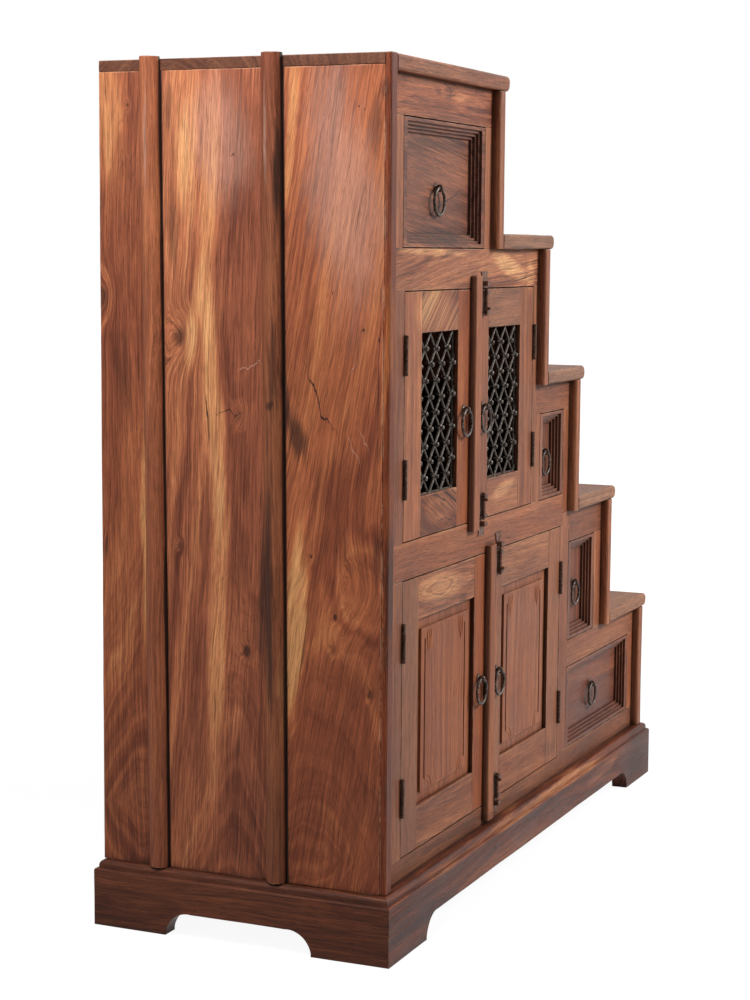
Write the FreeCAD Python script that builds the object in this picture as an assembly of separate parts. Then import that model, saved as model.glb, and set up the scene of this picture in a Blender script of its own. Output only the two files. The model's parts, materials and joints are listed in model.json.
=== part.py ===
"""Stepped cabinet in solid hardwood with four flush doors, four drawers and iron fittings.

Lengths are millimetres. While it is drawn, x = 0 is the outer face of the tall side,
y = 0 the front edge of the treads and z = 0 the floor. Each piece is moved as it is saved,
so that the finished part has its origin at the bottom centre of its bounding box.
"""
import FreeCAD, Part
import os
from math import atan2, ceil, cos, degrees, hypot, radians, sin

V = FreeCAD.Vector

# Carcass: depths of the five steps from the tall side, and their rises from the plinth up
going_5, going_4, going_3, going_2, going_1 = 492.0, 244.0, 189.0, 212.0, 231.0
rise_1, rise_2, rise_3, rise_4, rise_5 = 277.5, 253.0, 251.0, 245.0, 265.0
carcass_depth = 504.0
slab_thickness = 25.4       # treads and top
side_thickness = 26.0
riser_thickness = 28.0
nosing = 19.0               # how far a tread runs past the riser under it
nosing_round = 11.0
eased_edge = 3.0            # taken off along the front of the treads
riser_round = 6.0
slab_rebate = 7.4           # the top's underside is cut up over the tall side
edging_depth = 10.0         # strip that covers the front of the tall side
edging_round = 5.0

# Tall side: three boards with a half-round batten over each joint
side_joint_1, side_joint_2 = 192.5, 404.5
batten_width = 36.0
batten_proud = 16.0
batten_lean = 12.0          # the battens' tops lie this far behind their feet
batten_rise = 4.0           # above the top

# Plinth
plinth_height = 108.5
plinth_thickness = 32.0
plinth_out_left, plinth_out_front, plinth_out_right, plinth_out_back = 19.0, 15.0, 15.0, 9.0
arch_height = 39.0
arch_run = 46.0             # length of the curve between a foot and the arch
toe_height = 6.0
foot_width_front = 157.0
foot_width_side = 134.0
bead_radius = 4.0           # small lower round of the plinth moulding
quirk = 2.0                 # flat ledge between the two rounds
step_height = 4.5
ovolo_radius = 8.5
block_size = 34.0           # glue blocks in the plinth corners
block_lift = 12.0
bearer_width, bearer_height = 42.0, 20.0
bearer_shares = (0.14, 0.38, 0.62, 0.86)

# Inner boards
shelf_thickness = 18.0
partition_thickness = 25.0
partition_lap = 8.0         # a partition starts this far before the riser that stands on it
back_thickness = 12.0
back_inset = 4.0
plank_width = 112.0
plank_gap = 1.0
back_rail_height, back_rail_thickness = 40.0, 20.0

# Face frame, set back behind the front edges of treads and risers
face_recess = 14.0
face_thickness = 28.0
top_rail_height = 62.6
rail_4_height = 65.6
middle_rail_lift = 11.0     # the middle rail's top stands this far above tread 2
middle_rail_height = 60.0
rail_3_height = 53.1
rail_2_height = 60.0
rail_1_height = 51.0
door_sill_height = 33.5
drawer_sill_height = 41.0
door_stile_width = 65.5     # on the tall side, beside the doors
drawer_stile_width = 55.5   # on the tall side, beside the top drawer
stile_5_width = 32.5
stile_4_width = 22.5
drawer_3_stile_width = 44.0
stile_3_width = 33.5
door_stile_reach = 40.5     # the lower doors end this far before riser 3
divider_width = 49.0
stile_2_width = 44.5
stile_1_width = 35.5
front_gap = 1.5             # round every door and drawer front

# Doors
door_thickness = 20.0
meeting_gap = 3.0
grille_stile_width = 69.0
grille_rail_width = 65.5
panel_stile_width = 65.0
panel_rail_width = 69.5
groove_depth = 8.0          # panels and grilles sit in grooves of the door frames
groove_start = 7.0          # behind the door's face
groove_width = 7.0
groove_play = 0.3
strip_width = 36.0          # rounded strip over the meeting of two leaves
strip_proud = 10.0
strip_round = 8.0
strip_clearance = 0.5       # over the leaf that it laps and over the rails
upper_strip_above, upper_strip_below = 22.0, 16.0
lower_strip_above, lower_strip_below = 13.0, 28.0

# Raised panels of the lower doors
panel_margin_side, panel_margin_end = 21.0, 18.0
panel_raise = 4.5
field_line_inset = 14.0     # two upright lines are sunk into the field
field_line_width = 4.0
field_line_depth = 2.0
field_line_end = 19.0       # from the ends of the field to the ends of the lines

# Iron lattice of the upper doors
lattice_pitch_x, lattice_pitch_z = 47.0, 52.0
bar_width = 4.6
bar_thickness = 2.4
stud_width = 8.0            # pyramid studs, turned on their corners
stud_height = 3.0
rim_width = 10.0

# Butt hinges
hinge_height = 63.0
hinge_leaf_thickness = 1.6
hinge_leaf_depth = 22.0
knuckle_radius = 3.0
knuckle_sides = 8
knuckle_stand_off = 3.2     # of the pin in front of the door's face
knuckle_gap = 0.4
pin_radius = 1.3
pin_clearance = 0.05
upper_hinge_inset = 67.0    # from the door's end to the hinge, at both ends
lower_hinge_inset = 66.0

# Ring pulls
ring_outer_radius = 24.0
ring_wire_radius = 2.5
ring_sides, wire_sides = 16, 6
eye_wall = 3.2
eye_width = 3.2
eye_sides = 8
eye_clearance = 0.5
rose_radius = 9.0
rose_thickness = 1.5
ring_stand_off = 7.0
ring_to_strip = 26.0
upper_ring_drop = 3.5       # ring eyes below the middle of their door or drawer
lower_ring_drop = -7.5
drop_5, drop_3, drop_2, drop_1 = 5.0, -5.0, -6.5, -10.0

# Slide bolts
rod_radius = 3.0
rod_sides = 8
rod_clearance = 0.3
bolt_travel = 18.0
bolt_plate_width = 20.0
bolt_plate_thickness = 1.5
guide_width = 13.0
guide_height = 5.0
guide_wall = 1.6
guide_spacing = 28.0
bolt_end_inset = 3.0        # of the bolt's plate from the door's end
keeper_lift = 5.0           # of the keeper's loop beyond the door's end
keeper_height = 8.0
keeper_plate_height = 24.0
keeper_neck_width = 14.0    # next to the door
keeper_plate_width = 30.0   # at the plate's far end
rod_end_lift = 1.5
rod_tail = 4.0
knob_radius = 2.5
knob_length = 8.0
knob_clearance = 0.5        # from the guide behind it

# Drawers
drawer_front_thickness = 27.2
border_side = 14.0
border_top = 6.0
moulding_steps = 4
moulding_step_width = 5.0
moulding_step_depth = 4.5
box_inset = 24.0
box_lift = 10.0
box_drop = 30.0
box_back_gap = 46.8         # behind the drawer boxes, up to the back boards
box_side_thickness = 12.0
box_bottom_thickness = 6.0
box_back_drop = 8.0
runner_width = 20.0
guide_thickness = 8.0
guide_play = 1.0
guide_rise = 16.0
runner_clearance = 0.3
runner_back_gap = 26.0
stop_length = 14.0
stop_clearance = 0.5
stop_rise = 12.0

# One overrun serves every cut
over = 5.0


def box(x0, x1, y0, y1, z0, z1):
    return Part.makeBox(x1 - x0, y1 - y0, z1 - z0, V(x0, y0, z0))


def rod(x, y, z0, z1, radius):
    return Part.makeCylinder(radius, z1 - z0, V(x, y, z0), V(0, 0, 1))


def prism(sides, radius, start, axis, length):
    """A bar with a regular outline along one of the three axes, with two of its flats square to the next axis."""
    first = V(axis.z, axis.x, axis.y)
    second = axis.cross(first)
    turns = [radians(180) * (2 * i + 1) / sides for i in range(sides)]
    points = [start + first * (radius * cos(turn)) + second * (radius * sin(turn)) for turn in turns]
    return extruded(polygon(points), axis * length)


def extruded(edges, vector):
    return Part.Face(Part.Wire(edges)).extrude(vector)


def polygon(points):
    return [Part.LineSegment(a, b).toShape() for a, b in zip(points, points[1:] + points[:1])]


def arc(start, middle, end):
    return Part.Arc(start, middle, end).toShape()


def line(start, end):
    return Part.LineSegment(start, end).toShape()


def upright_edges(solid, keep):
    """The vertical edges of a solid whose middle passes the test."""
    def vertical(edge):
        low, high = edge.Vertexes[0].Point, edge.Vertexes[-1].Point
        return abs(low.x - high.x) + abs(low.y - high.y) < pin_clearance
    return [edge for edge in solid.Edges if vertical(edge) and keep(edge.BoundBox.Center)]


# Places that follow from the sizes above

face_5 = going_5
face_4 = face_5 + going_4
face_3 = face_4 + going_3
face_2 = face_3 + going_2
face_1 = face_2 + going_1
faces = {5: face_5, 4: face_4, 3: face_3, 2: face_2, 1: face_1}
inner = {level: face - riser_thickness for level, face in faces.items()}

top_1 = plinth_height + rise_1
top_2 = top_1 + rise_2
top_3 = top_2 + rise_3
top_4 = top_3 + rise_4
top_5 = top_4 + rise_5
tops = {5: top_5, 4: top_4, 3: top_3, 2: top_2, 1: top_1}
under = {level: top - slab_thickness for level, top in tops.items()}

face_front = face_recess
face_back = face_recess + face_thickness
back_front = carcass_depth - back_inset - back_thickness
back_back = carcass_depth - back_inset
middle_top = top_2 + middle_rail_lift
middle_under = middle_top - middle_rail_height
door_sill = plinth_height + door_sill_height
drawer_sill = plinth_height + drawer_sill_height
floor_top = plinth_height + shelf_thickness
partition_upper = inner[4] - partition_lap
partition_lower = inner[3] - partition_lap
bolt_axis_y = face_front - bolt_plate_thickness - rod_clearance - rod_radius

# Openings of the face frame: x0, x1, z0, z1
door_left = side_thickness + door_stile_width
upper_doors = (door_left, inner[4] - stile_4_width, middle_top, under[4] - rail_4_height)
lower_doors = (door_left, inner[3] - door_stile_reach, door_sill, middle_under)
drawer_3_left = upper_doors[1] + drawer_3_stile_width
drawer_2_left = lower_doors[1] + divider_width
drawer_openings = {
    5: (side_thickness + drawer_stile_width, inner[5] - stile_5_width, under[4], under[5] - top_rail_height),
    3: (drawer_3_left, inner[3] - stile_3_width, middle_top, under[3] - rail_3_height),
    2: (drawer_2_left, inner[2] - stile_2_width, under[1], under[2] - rail_2_height),
    1: (drawer_2_left, inner[1] - stile_1_width, drawer_sill, under[1] - rail_1_height),
}
drawer_floors = {5: under[4], 3: middle_top, 2: under[1], 1: floor_top}
drawer_ring_drops = {5: drop_5, 3: drop_3, 2: drop_2, 1: drop_1}

centre_x = (face_1 + nosing - plinth_out_left) / 2
centre_y = (carcass_depth + plinth_out_back - plinth_out_front) / 2


def save(name, *solids):
    """Move the solids to the part's own origin and write them as one file."""
    moved = []
    for solid in solids:
        for piece in solid.Solids:
            copy = piece.copy()
            copy.translate(V(-centre_x, -centre_y, 0))
            moved.append(copy)
    shape = moved[0] if len(moved) == 1 else Part.makeCompound(moved)
    shape.exportStep(os.path.join("parts", name + ".step"))


# Plinth: four moulded boards, mitred at the corners, with bracket feet

def plinth_profile(place):
    """Section of a plinth board; place(inset, z) puts a point of it in space."""
    bead_top = plinth_height - ovolo_radius - step_height
    bead_low = bead_top - bead_radius
    ledge = bead_radius + quirk
    step_top = bead_top + step_height
    ovolo_end = ledge + ovolo_radius
    bend = cos(radians(45))
    points = [place(0, 0), place(0, bead_low), place(bead_radius, bead_top), place(ledge, bead_top),
              place(ledge, step_top), place(ovolo_end, plinth_height),
              place(plinth_thickness, plinth_height), place(plinth_thickness, 0)]
    bead_middle = place(bead_radius * (1 - bend), bead_low + bead_radius * bend)
    ovolo_middle = place(ledge + ovolo_radius * (1 - bend), step_top + ovolo_radius * bend)
    return [line(points[0], points[1]), arc(points[1], bead_middle, points[2]), line(points[2], points[3]),
            line(points[3], points[4]), arc(points[4], ovolo_middle, points[5]), line(points[5], points[6]),
            line(points[6], points[7]), line(points[7], points[0])]


def arch(start, end, place, vector):
    """The space between two feet, from start to end along the board."""
    bend = cos(radians(45))
    curve = arch_height - toe_height
    rise = toe_height + curve * bend
    run = arch_run * (1 - bend)
    low = [place(end, toe_height), place(end, -over), place(start, -over), place(start, toe_height)]
    left_top, right_top = place(start + arch_run, arch_height), place(end - arch_run, arch_height)
    edges = [line(low[0], low[1]), line(low[1], low[2]), line(low[2], low[3]),
             arc(low[3], place(start + run, rise), left_top), line(left_top, right_top),
             arc(right_top, place(end - run, rise), low[0])]
    return extruded(edges, vector)


def plinth():
    x0, x1 = -plinth_out_left, face_1 + plinth_out_right
    y0, y1 = -plinth_out_front, carcass_depth + plinth_out_back
    t = plinth_thickness
    long_x, long_y = V(x1 - x0, 0, 0), V(0, y1 - y0, 0)
    boards = {
        "plinth_front": (lambda d, z: V(x0, y0 + d, z), long_x,
                         [V(x0, y0, 0), V(x1, y0, 0), V(x1 - t, y0 + t, 0), V(x0 + t, y0 + t, 0)]),
        "plinth_back": (lambda d, z: V(x0, y1 - d, z), long_x,
                        [V(x0, y1, 0), V(x1, y1, 0), V(x1 - t, y1 - t, 0), V(x0 + t, y1 - t, 0)]),
        "plinth_left": (lambda d, z: V(x0 + d, y0, z), long_y,
                        [V(x0, y0, 0), V(x0, y1, 0), V(x0 + t, y1 - t, 0), V(x0 + t, y0 + t, 0)]),
        "plinth_right": (lambda d, z: V(x1 - d, y0, z), long_y,
                         [V(x1, y0, 0), V(x1, y1, 0), V(x1 - t, y1 - t, 0), V(x1 - t, y0 + t, 0)]),
    }
    along_x = arch(x0 + foot_width_front, x1 - foot_width_front,
                   lambda s, z: V(s, y0 - over, z), V(0, y1 - y0 + 2 * over, 0))
    along_y = arch(y0 + foot_width_side, y1 - foot_width_side,
                   lambda s, z: V(x0 - over, s, z), V(x1 - x0 + 2 * over, 0, 0))
    for name, (place, vector, plan) in boards.items():
        mitres = extruded(polygon(plan), V(0, 0, plinth_height))
        board = extruded(plinth_profile(place), vector).common(mitres)
        save(name, board.cut(along_x if vector.x else along_y))

    b = block_size
    corners = [(x, y) for x in (x0 + t, x1 - t - b) for y in (y0 + t, y1 - t - b)]
    blocks = [box(x, x + b, y, y + b, block_lift, plinth_height) for x, y in corners]
    bearers = [box(x, x + bearer_width, y0 + t, y1 - t, plinth_height - bearer_height, plinth_height)
               for x in (x0 + (x1 - x0) * share - bearer_width / 2 for share in bearer_shares)]
    save("base_blocks_and_bearers", *blocks, *bearers)


# Carcass: tall side, treads, risers and the boards inside

def tread(x0, x1, top):
    """A board with a rounded nosing at its low end and its front edges taken off."""
    low, bend = top - slab_thickness, nosing_round * (1 - cos(radians(45)))
    r = nosing_round
    at = lambda x, z: V(x, 0, z)
    edges = [line(at(x0, low), at(x1 - r, low)),
             arc(at(x1 - r, low), at(x1 - bend, low + bend), at(x1, low + r)),
             line(at(x1, low + r), at(x1, top - r)),
             arc(at(x1, top - r), at(x1 - bend, top - bend), at(x1 - r, top)),
             line(at(x1 - r, top), at(x0, top)), line(at(x0, top), at(x0, low))]
    board = extruded(edges, V(0, carcass_depth, 0))
    front = [e for e in board.Edges if e.BoundBox.YMax < eased_edge and e.BoundBox.XMax > x0 + eased_edge]
    return board.makeChamfer(eased_edge, front)


def carcass():
    side_top = under[5] + slab_rebate
    joints = [edging_depth, side_joint_1, side_joint_2, carcass_depth]
    save("side_boards", *[box(0, side_thickness, a, b, plinth_height, side_top)
                          for a, b in zip(joints, joints[1:])])

    half = batten_width / 2
    battens = []
    for joint in (side_joint_1, side_joint_2):
        foot = joint - batten_lean / 2
        at = lambda x, y: V(x, y, plinth_height)
        section = [arc(at(0, foot - half), at(-batten_proud, foot), at(0, foot + half)),
                   line(at(0, foot + half), at(0, foot - half))]
        battens.append(extruded(section, V(0, batten_lean, top_5 + batten_rise - plinth_height)))
    save("side_battens", *battens)

    edging = box(0, side_thickness, 0, edging_depth, plinth_height, top_5)
    save("front_edging", edging.makeFillet(edging_round, upright_edges(edging, lambda c: c.y < edging_round)))

    top = tread(0, face_5 + nosing, top_5)
    top = top.cut(box(-over, side_thickness, -over, edging_depth, under[5] - over, top_5 + over))
    save("top_slab", top.cut(box(-over, side_thickness, -over, carcass_depth + over, under[5] - over, side_top)))
    save("treads", *[tread(faces[level + 1], faces[level] + nosing, tops[level]) for level in (1, 2, 3, 4)])

    risers = []
    for level in (1, 2, 3, 4, 5):
        foot = plinth_height if level == 1 else under[level - 1]
        riser = box(inner[level], faces[level], 0, carcass_depth, foot, under[level])
        risers.append(riser.makeFillet(riser_round, upright_edges(riser, lambda c: c.y < riser_round)))
    save("risers", *risers)

    save("bottom_board", box(side_thickness, inner[1], face_back, back_front, plinth_height, floor_top))
    save("partitions",
         box(partition_upper, partition_upper + partition_thickness, face_back, back_front, middle_top, under[3]),
         box(partition_lower, partition_lower + partition_thickness, face_back, back_front, floor_top, under[2]))
    right_of_partition = partition_lower + partition_thickness
    shelf = lambda x0, x1, top: box(x0, x1, face_back, back_front, top - shelf_thickness, top)
    save("inner_shelves", shelf(side_thickness, inner[4], under[4]), shelf(side_thickness, inner[3], middle_top),
         shelf(right_of_partition, inner[1], under[1]))
    rail = lambda x0, x1, top: box(x0, x1, back_front - back_rail_thickness, back_front,
                                   top - back_rail_height, top)
    save("back_rails", rail(side_thickness, inner[4], under[4] - shelf_thickness),
         rail(side_thickness, partition_lower, middle_top - shelf_thickness),
         rail(partition_upper + partition_thickness, inner[3], under[3]),
         rail(right_of_partition, inner[2], under[2]),
         rail(right_of_partition, inner[1], under[1] - shelf_thickness))
    save("back_boards", *back_planks())


def back_planks():
    """Upright planks, cut off in steps under the treads."""
    edges = [side_thickness, inner[5], inner[4], inner[3], inner[2], inner[1]]
    planks = []
    for x0, x1, level in zip(edges, edges[1:], (5, 4, 3, 2, 1)):
        count = ceil((x1 - x0) / plank_width)
        width = (x1 - x0) / count
        for i in range(count):
            left = x0 + width * i
            right = left + width - (plank_gap if i < count - 1 else 0)
            planks.append(box(left, right, back_front, back_back, plinth_height, under[level]))
    return planks


def face_frame():
    piece = lambda x0, x1, z0, z1: box(x0, x1, face_front, face_back, z0, z1)
    left = side_thickness
    upper, lower, d5, d3, d2, d1 = upper_doors, lower_doors, *(drawer_openings[k] for k in (5, 3, 2, 1))
    save("face_rails",
         piece(left, inner[5], d5[3], under[5]),
         piece(left, inner[4], upper[3], under[4]),
         piece(left, d3[1], middle_under, middle_top),
         piece(inner[4], inner[3], d3[3], under[3]),
         piece(d2[0], inner[2], d2[3], under[2]),
         piece(d2[0], inner[1], d1[3], under[1]),
         piece(left, inner[1], plinth_height, door_sill).fuse(
             piece(lower[1], inner[1], plinth_height, drawer_sill)).removeSplitter())
    stiles = {
        "drawer_5_left": piece(left, d5[0], d5[2], d5[3]),
        "drawer_5_right": piece(d5[1], inner[5], d5[2], d5[3]),
        "upper_left": piece(left, upper[0], upper[2], upper[3]),
        "upper_right": piece(upper[1], d3[0], upper[2], d3[3]).fuse(
            piece(upper[1], inner[4], d3[3], upper[3])).removeSplitter(),
        "drawer_3_right": piece(d3[1], inner[3], under[2], d3[3]),
        "lower_left": piece(left, lower[0], lower[2], lower[3]),
        "divider": piece(lower[1], d2[0], drawer_sill, middle_under).fuse(
            piece(d3[1], d2[0], middle_under, under[2])).removeSplitter(),
        "drawer_2_right": piece(d2[1], inner[2], d2[2], d2[3]),
        "drawer_1_right": piece(d1[1], inner[1], d1[2], d1[3]),
    }
    return stiles


# Doors: one leaf is drawn at the left of its opening and mirrored to the right

def door_sizes(opening, stile, rail, hinge_inset):
    x0, x1, z0, z1 = opening
    middle = (x0 + x1) / 2
    return {
        "middle": middle, "hinge_x": x0 + front_gap / 2,
        "x0": x0 + front_gap, "x1": middle - meeting_gap / 2, "z0": z0 + front_gap, "z1": z1 - front_gap,
        "stile": stile, "rail": rail,
        "hinges": (z0 + front_gap + hinge_inset, z1 - front_gap - hinge_inset - hinge_height),
    }


def hinge_halves(s, z):
    """The frame's half with the pin, and the door's half, of one hinge whose foot is at z."""
    x, y = s["hinge_x"], face_front - knuckle_stand_off
    third = hinge_height / 3
    cuts = [z, z + third, z + 2 * third, z + hinge_height]
    leaf_end = face_front + hinge_leaf_depth
    frame_x, door_x = s["x0"] - front_gap, s["x0"]
    frame = box(frame_x - hinge_leaf_thickness, frame_x, face_front, leaf_end, z, z + hinge_height)
    barrel = lambda low, high: prism(knuckle_sides, knuckle_radius, V(x, y, low), V(0, 0, 1), high - low)
    for low, high in ((cuts[0], cuts[1]), (cuts[2], cuts[3])):
        frame = frame.fuse(barrel(low, high))
        frame = frame.fuse(box(frame_x - hinge_leaf_thickness, frame_x, y, face_front, low, high))
    frame = frame.fuse(prism(knuckle_sides, pin_radius, V(x, y, z), V(0, 0, 1), hinge_height))
    low, high = cuts[1] + knuckle_gap, cuts[2] - knuckle_gap
    door = box(door_x, door_x + hinge_leaf_thickness, face_front, leaf_end, z, z + hinge_height)
    door = door.fuse(barrel(low, high))
    door = door.fuse(box(door_x, door_x + hinge_leaf_thickness, y, face_front, low, high))
    door = door.cut(rod(x, y, z - over, z + hinge_height + over, pin_radius + pin_clearance))
    return frame.removeSplitter(), door.removeSplitter()


def hinge_mortise(s, z, on_door):
    """The recess for a hinge leaf in the edge of the door or of the frame."""
    if on_door:
        x0, x1 = s["x0"] - over, s["x0"] + hinge_leaf_thickness
    else:
        x0, x1 = s["x0"] - front_gap - hinge_leaf_thickness, s["x0"]
    return box(x0, x1, face_front - over, face_front + hinge_leaf_depth, z, z + hinge_height)


def panel_space(s, play, start, width):
    """The room that a panel or a grille takes in the grooves of its frame."""
    d = groove_depth - play
    return box(s["x0"] + s["stile"] - d, s["x1"] - s["stile"] + d, face_front + start,
               face_front + start + width, s["z0"] + s["rail"] - d, s["z1"] - s["rail"] + d)


def door_frame(s):
    y0, y1 = face_front, face_front + door_thickness
    groove = panel_space(s, 0, groove_start, groove_width)
    inside0, inside1 = s["x0"] + s["stile"], s["x1"] - s["stile"]
    pieces = [box(s["x0"], inside0, y0, y1, s["z0"], s["z1"]),
              box(inside1, s["x1"], y0, y1, s["z0"], s["z1"]),
              box(inside0, inside1, y0, y1, s["z0"], s["z0"] + s["rail"]),
              box(inside0, inside1, y0, y1, s["z1"] - s["rail"], s["z1"])]
    pieces = [piece.cut(groove) for piece in pieces]
    for z in s["hinges"]:
        pieces[0] = pieces[0].cut(hinge_mortise(s, z, True))
    return pieces


def stud(x, y, z):
    """A pyramid turned on its corner over a crossing."""
    reach = stud_width / 2 * hypot(1, 1)
    tip = V(x, y - stud_height, z)
    corners = [V(x - reach, y, z), V(x, y, z + reach), V(x + reach, y, z), V(x, y, z - reach)]
    sides = [Part.Face(Part.Wire(polygon([a, b, tip]))) for a, b in zip(corners, corners[1:] + corners[:1])]
    solid = Part.Solid(Part.Shell(sides + [Part.Face(Part.Wire(polygon(corners)))]))
    return solid if solid.Volume > 0 else solid.reversed()


def grille(s):
    """Two layers of crossing iron bars with a stud on each crossing, in a flat rim."""
    y0 = face_front + groove_start + groove_play
    depth = 2 * bar_thickness
    outer = panel_space(s, groove_play, groove_start + groove_play, depth)
    bounds = outer.BoundBox
    hole = box(bounds.XMin + rim_width, bounds.XMax - rim_width, y0 - over, y0 + depth + over,
               bounds.ZMin + rim_width, bounds.ZMax - rim_width)
    cx, cz = bounds.Center.x, bounds.Center.z
    half_x, half_z = bounds.XLength / 2 - rim_width, bounds.ZLength / 2 - rim_width
    length = 2 * hypot(half_x, half_z)
    lean = degrees(atan2(lattice_pitch_x, lattice_pitch_z))
    reach = ceil((half_x + half_z * lattice_pitch_x / lattice_pitch_z) / lattice_pitch_x)
    parts = [outer.cut(hole)]
    for turn, y in ((lean, y0), (-lean, y0 + bar_thickness)):
        for i in range(-reach, reach + 1):
            x = cx + i * lattice_pitch_x
            bar = box(x - bar_width / 2, x + bar_width / 2, y, y + bar_thickness, cz - length, cz + length)
            bar.rotate(V(x, y, cz), V(0, 1, 0), turn)
            bar = bar.common(hole)
            if bar.Solids:
                parts.append(bar)
    columns, rows = ceil(2 * half_x / lattice_pitch_x), ceil(2 * half_z / lattice_pitch_z)
    for i in range(-columns, columns + 1):
        for j in range(-rows, rows + 1):
            dx, dz = i * lattice_pitch_x / 2, j * lattice_pitch_z / 2
            if (i + j) % 2 == 0 and abs(dx) < half_x - stud_width / 2 and abs(dz) < half_z - stud_width / 2:
                parts.append(stud(cx + dx, y0, cz + dz))
    return parts[0].multiFuse(parts[1:]).removeSplitter()


def raised_panel(s):
    """A board with a raised field, and an upright line sunk along each side of the field."""
    y0 = face_front + groove_start + groove_play
    board = panel_space(s, groove_play, groove_start + groove_play, groove_width - 2 * groove_play)
    x0, x1 = s["x0"] + s["stile"] + panel_margin_side, s["x1"] - s["stile"] - panel_margin_side
    z0, z1 = s["z0"] + s["rail"] + panel_margin_end, s["z1"] - s["rail"] - panel_margin_end
    front = y0 - panel_raise
    panel = board.fuse(box(x0, x1, front, y0 + groove_play, z0, z1)).removeSplitter()
    line_back, line_low, line_high = front + field_line_depth, z0 + field_line_end, z1 - field_line_end
    for left in (x0 + field_line_inset, x1 - field_line_inset - field_line_width):
        panel = panel.cut(box(left, left + field_line_width, front - over, line_back, line_low, line_high))
    return panel


def eye(x, z, surface):
    """Rose and eye of a ring pull, on a surface that faces the front."""
    y = surface - ring_stand_off
    hole = ring_wire_radius + eye_clearance
    left = x - eye_width / 2
    plate = prism(eye_sides, rose_radius, V(x, surface, z), V(0, -1, 0), rose_thickness)
    loop = prism(eye_sides, hole + eye_wall, V(left, y, z), V(1, 0, 0), eye_width)
    shank = box(left, left + eye_width, y, surface, z - eye_wall, z + eye_wall)
    bore = prism(eye_sides, hole, V(left - over, y, z), V(1, 0, 0), eye_width + 2 * over)
    return plate.fuse(shank).fuse(loop).cut(bore).removeSplitter()


def ring(x, z, surface):
    """A round wire closed into a ring, drawn with flat faces: a wire section at each of its turns."""
    major = ring_outer_radius - ring_wire_radius
    rows = []
    for i in range(ring_sides):
        turn = radians(360) * i / ring_sides
        row = []
        for j in range(wire_sides):
            tilt = radians(360) * j / wire_sides
            reach = major + ring_wire_radius * cos(tilt)
            row.append(V(x + reach * sin(turn), surface - ring_stand_off + ring_wire_radius * sin(tilt),
                         z - major + reach * cos(turn)))
        rows.append(row)
    skin = []
    for row, after in zip(rows, rows[1:] + rows[:1]):
        for j in range(wire_sides):
            k = (j + 1) % wire_sides
            skin.append(Part.Face(Part.Wire(polygon([row[j], after[j], after[k], row[k]]))))
    solid = Part.Solid(Part.Shell(skin))
    return solid if solid.Volume > 0 else solid.reversed()


def cover_strip(s, above, below):
    """Rounded strip on the right leaf, which laps the left leaf and both rails."""
    half = strip_width / 2
    y0, y1 = face_front - strip_proud, face_front - strip_clearance
    bar = box(s["middle"] - half, s["middle"] + half, y0, y1, s["z0"] - below, s["z1"] + above)
    bar = bar.makeFillet(strip_round, upright_edges(bar, lambda c: c.y < y0 + strip_clearance))
    seat = box(s["middle"] + meeting_gap / 2, s["middle"] + half, y1, face_front, s["z0"], s["z1"])
    return bar.fuse(seat).removeSplitter()


def bolt(x, end, up):
    """Plate with guides, rod with knob, and keeper, at the top (up = 1) or the foot (up = -1) of a leaf."""
    y_plate = face_front - bolt_plate_thickness
    front = bolt_axis_y - rod_radius - rod_clearance - guide_wall

    def slab(width, start, stop, y0, y1):
        low, high = sorted((end + up * start, end + up * stop))
        return box(x - width / 2, x + width / 2, y0, y1, low, high)

    def bar(start, stop, radius):
        low, high = sorted((end + up * start, end + up * stop))
        return prism(rod_sides, radius, V(x, bolt_axis_y, low), V(0, 0, 1), high - low)

    last = -bolt_end_inset - guide_height
    first = last - guide_spacing - guide_height
    guides = slab(bolt_plate_width, -bolt_end_inset, first, y_plate, face_front)
    for start in (last, first):
        guides = guides.fuse(slab(guide_width, start, start + guide_height, front, y_plate))

    keeper_end = keeper_lift + keeper_plate_height
    near, far = keeper_neck_width / 2, keeper_plate_width / 2
    outline = [(-near, keeper_lift), (near, keeper_lift), (far, keeper_end), (-far, keeper_end)]
    keeper = extruded(polygon([V(x + dx, y_plate, end + up * dz) for dx, dz in outline]),
                      V(0, bolt_plate_thickness, 0))
    keeper = keeper.fuse(slab(guide_width, keeper_lift, keeper_lift + keeper_height, front, y_plate))

    hole = bar(first - over, keeper_end + over, rod_radius + rod_clearance)
    rod_start = first - rod_tail
    knob_z = end + up * (first + guide_height + knob_radius + knob_clearance)
    knob = prism(rod_sides, knob_radius, V(x, bolt_axis_y, knob_z), V(0, -1, 0), knob_length)
    return guides.cut(hole), bar(rod_start, rod_end_lift, rod_radius).fuse(knob), keeper.cut(hole)


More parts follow.
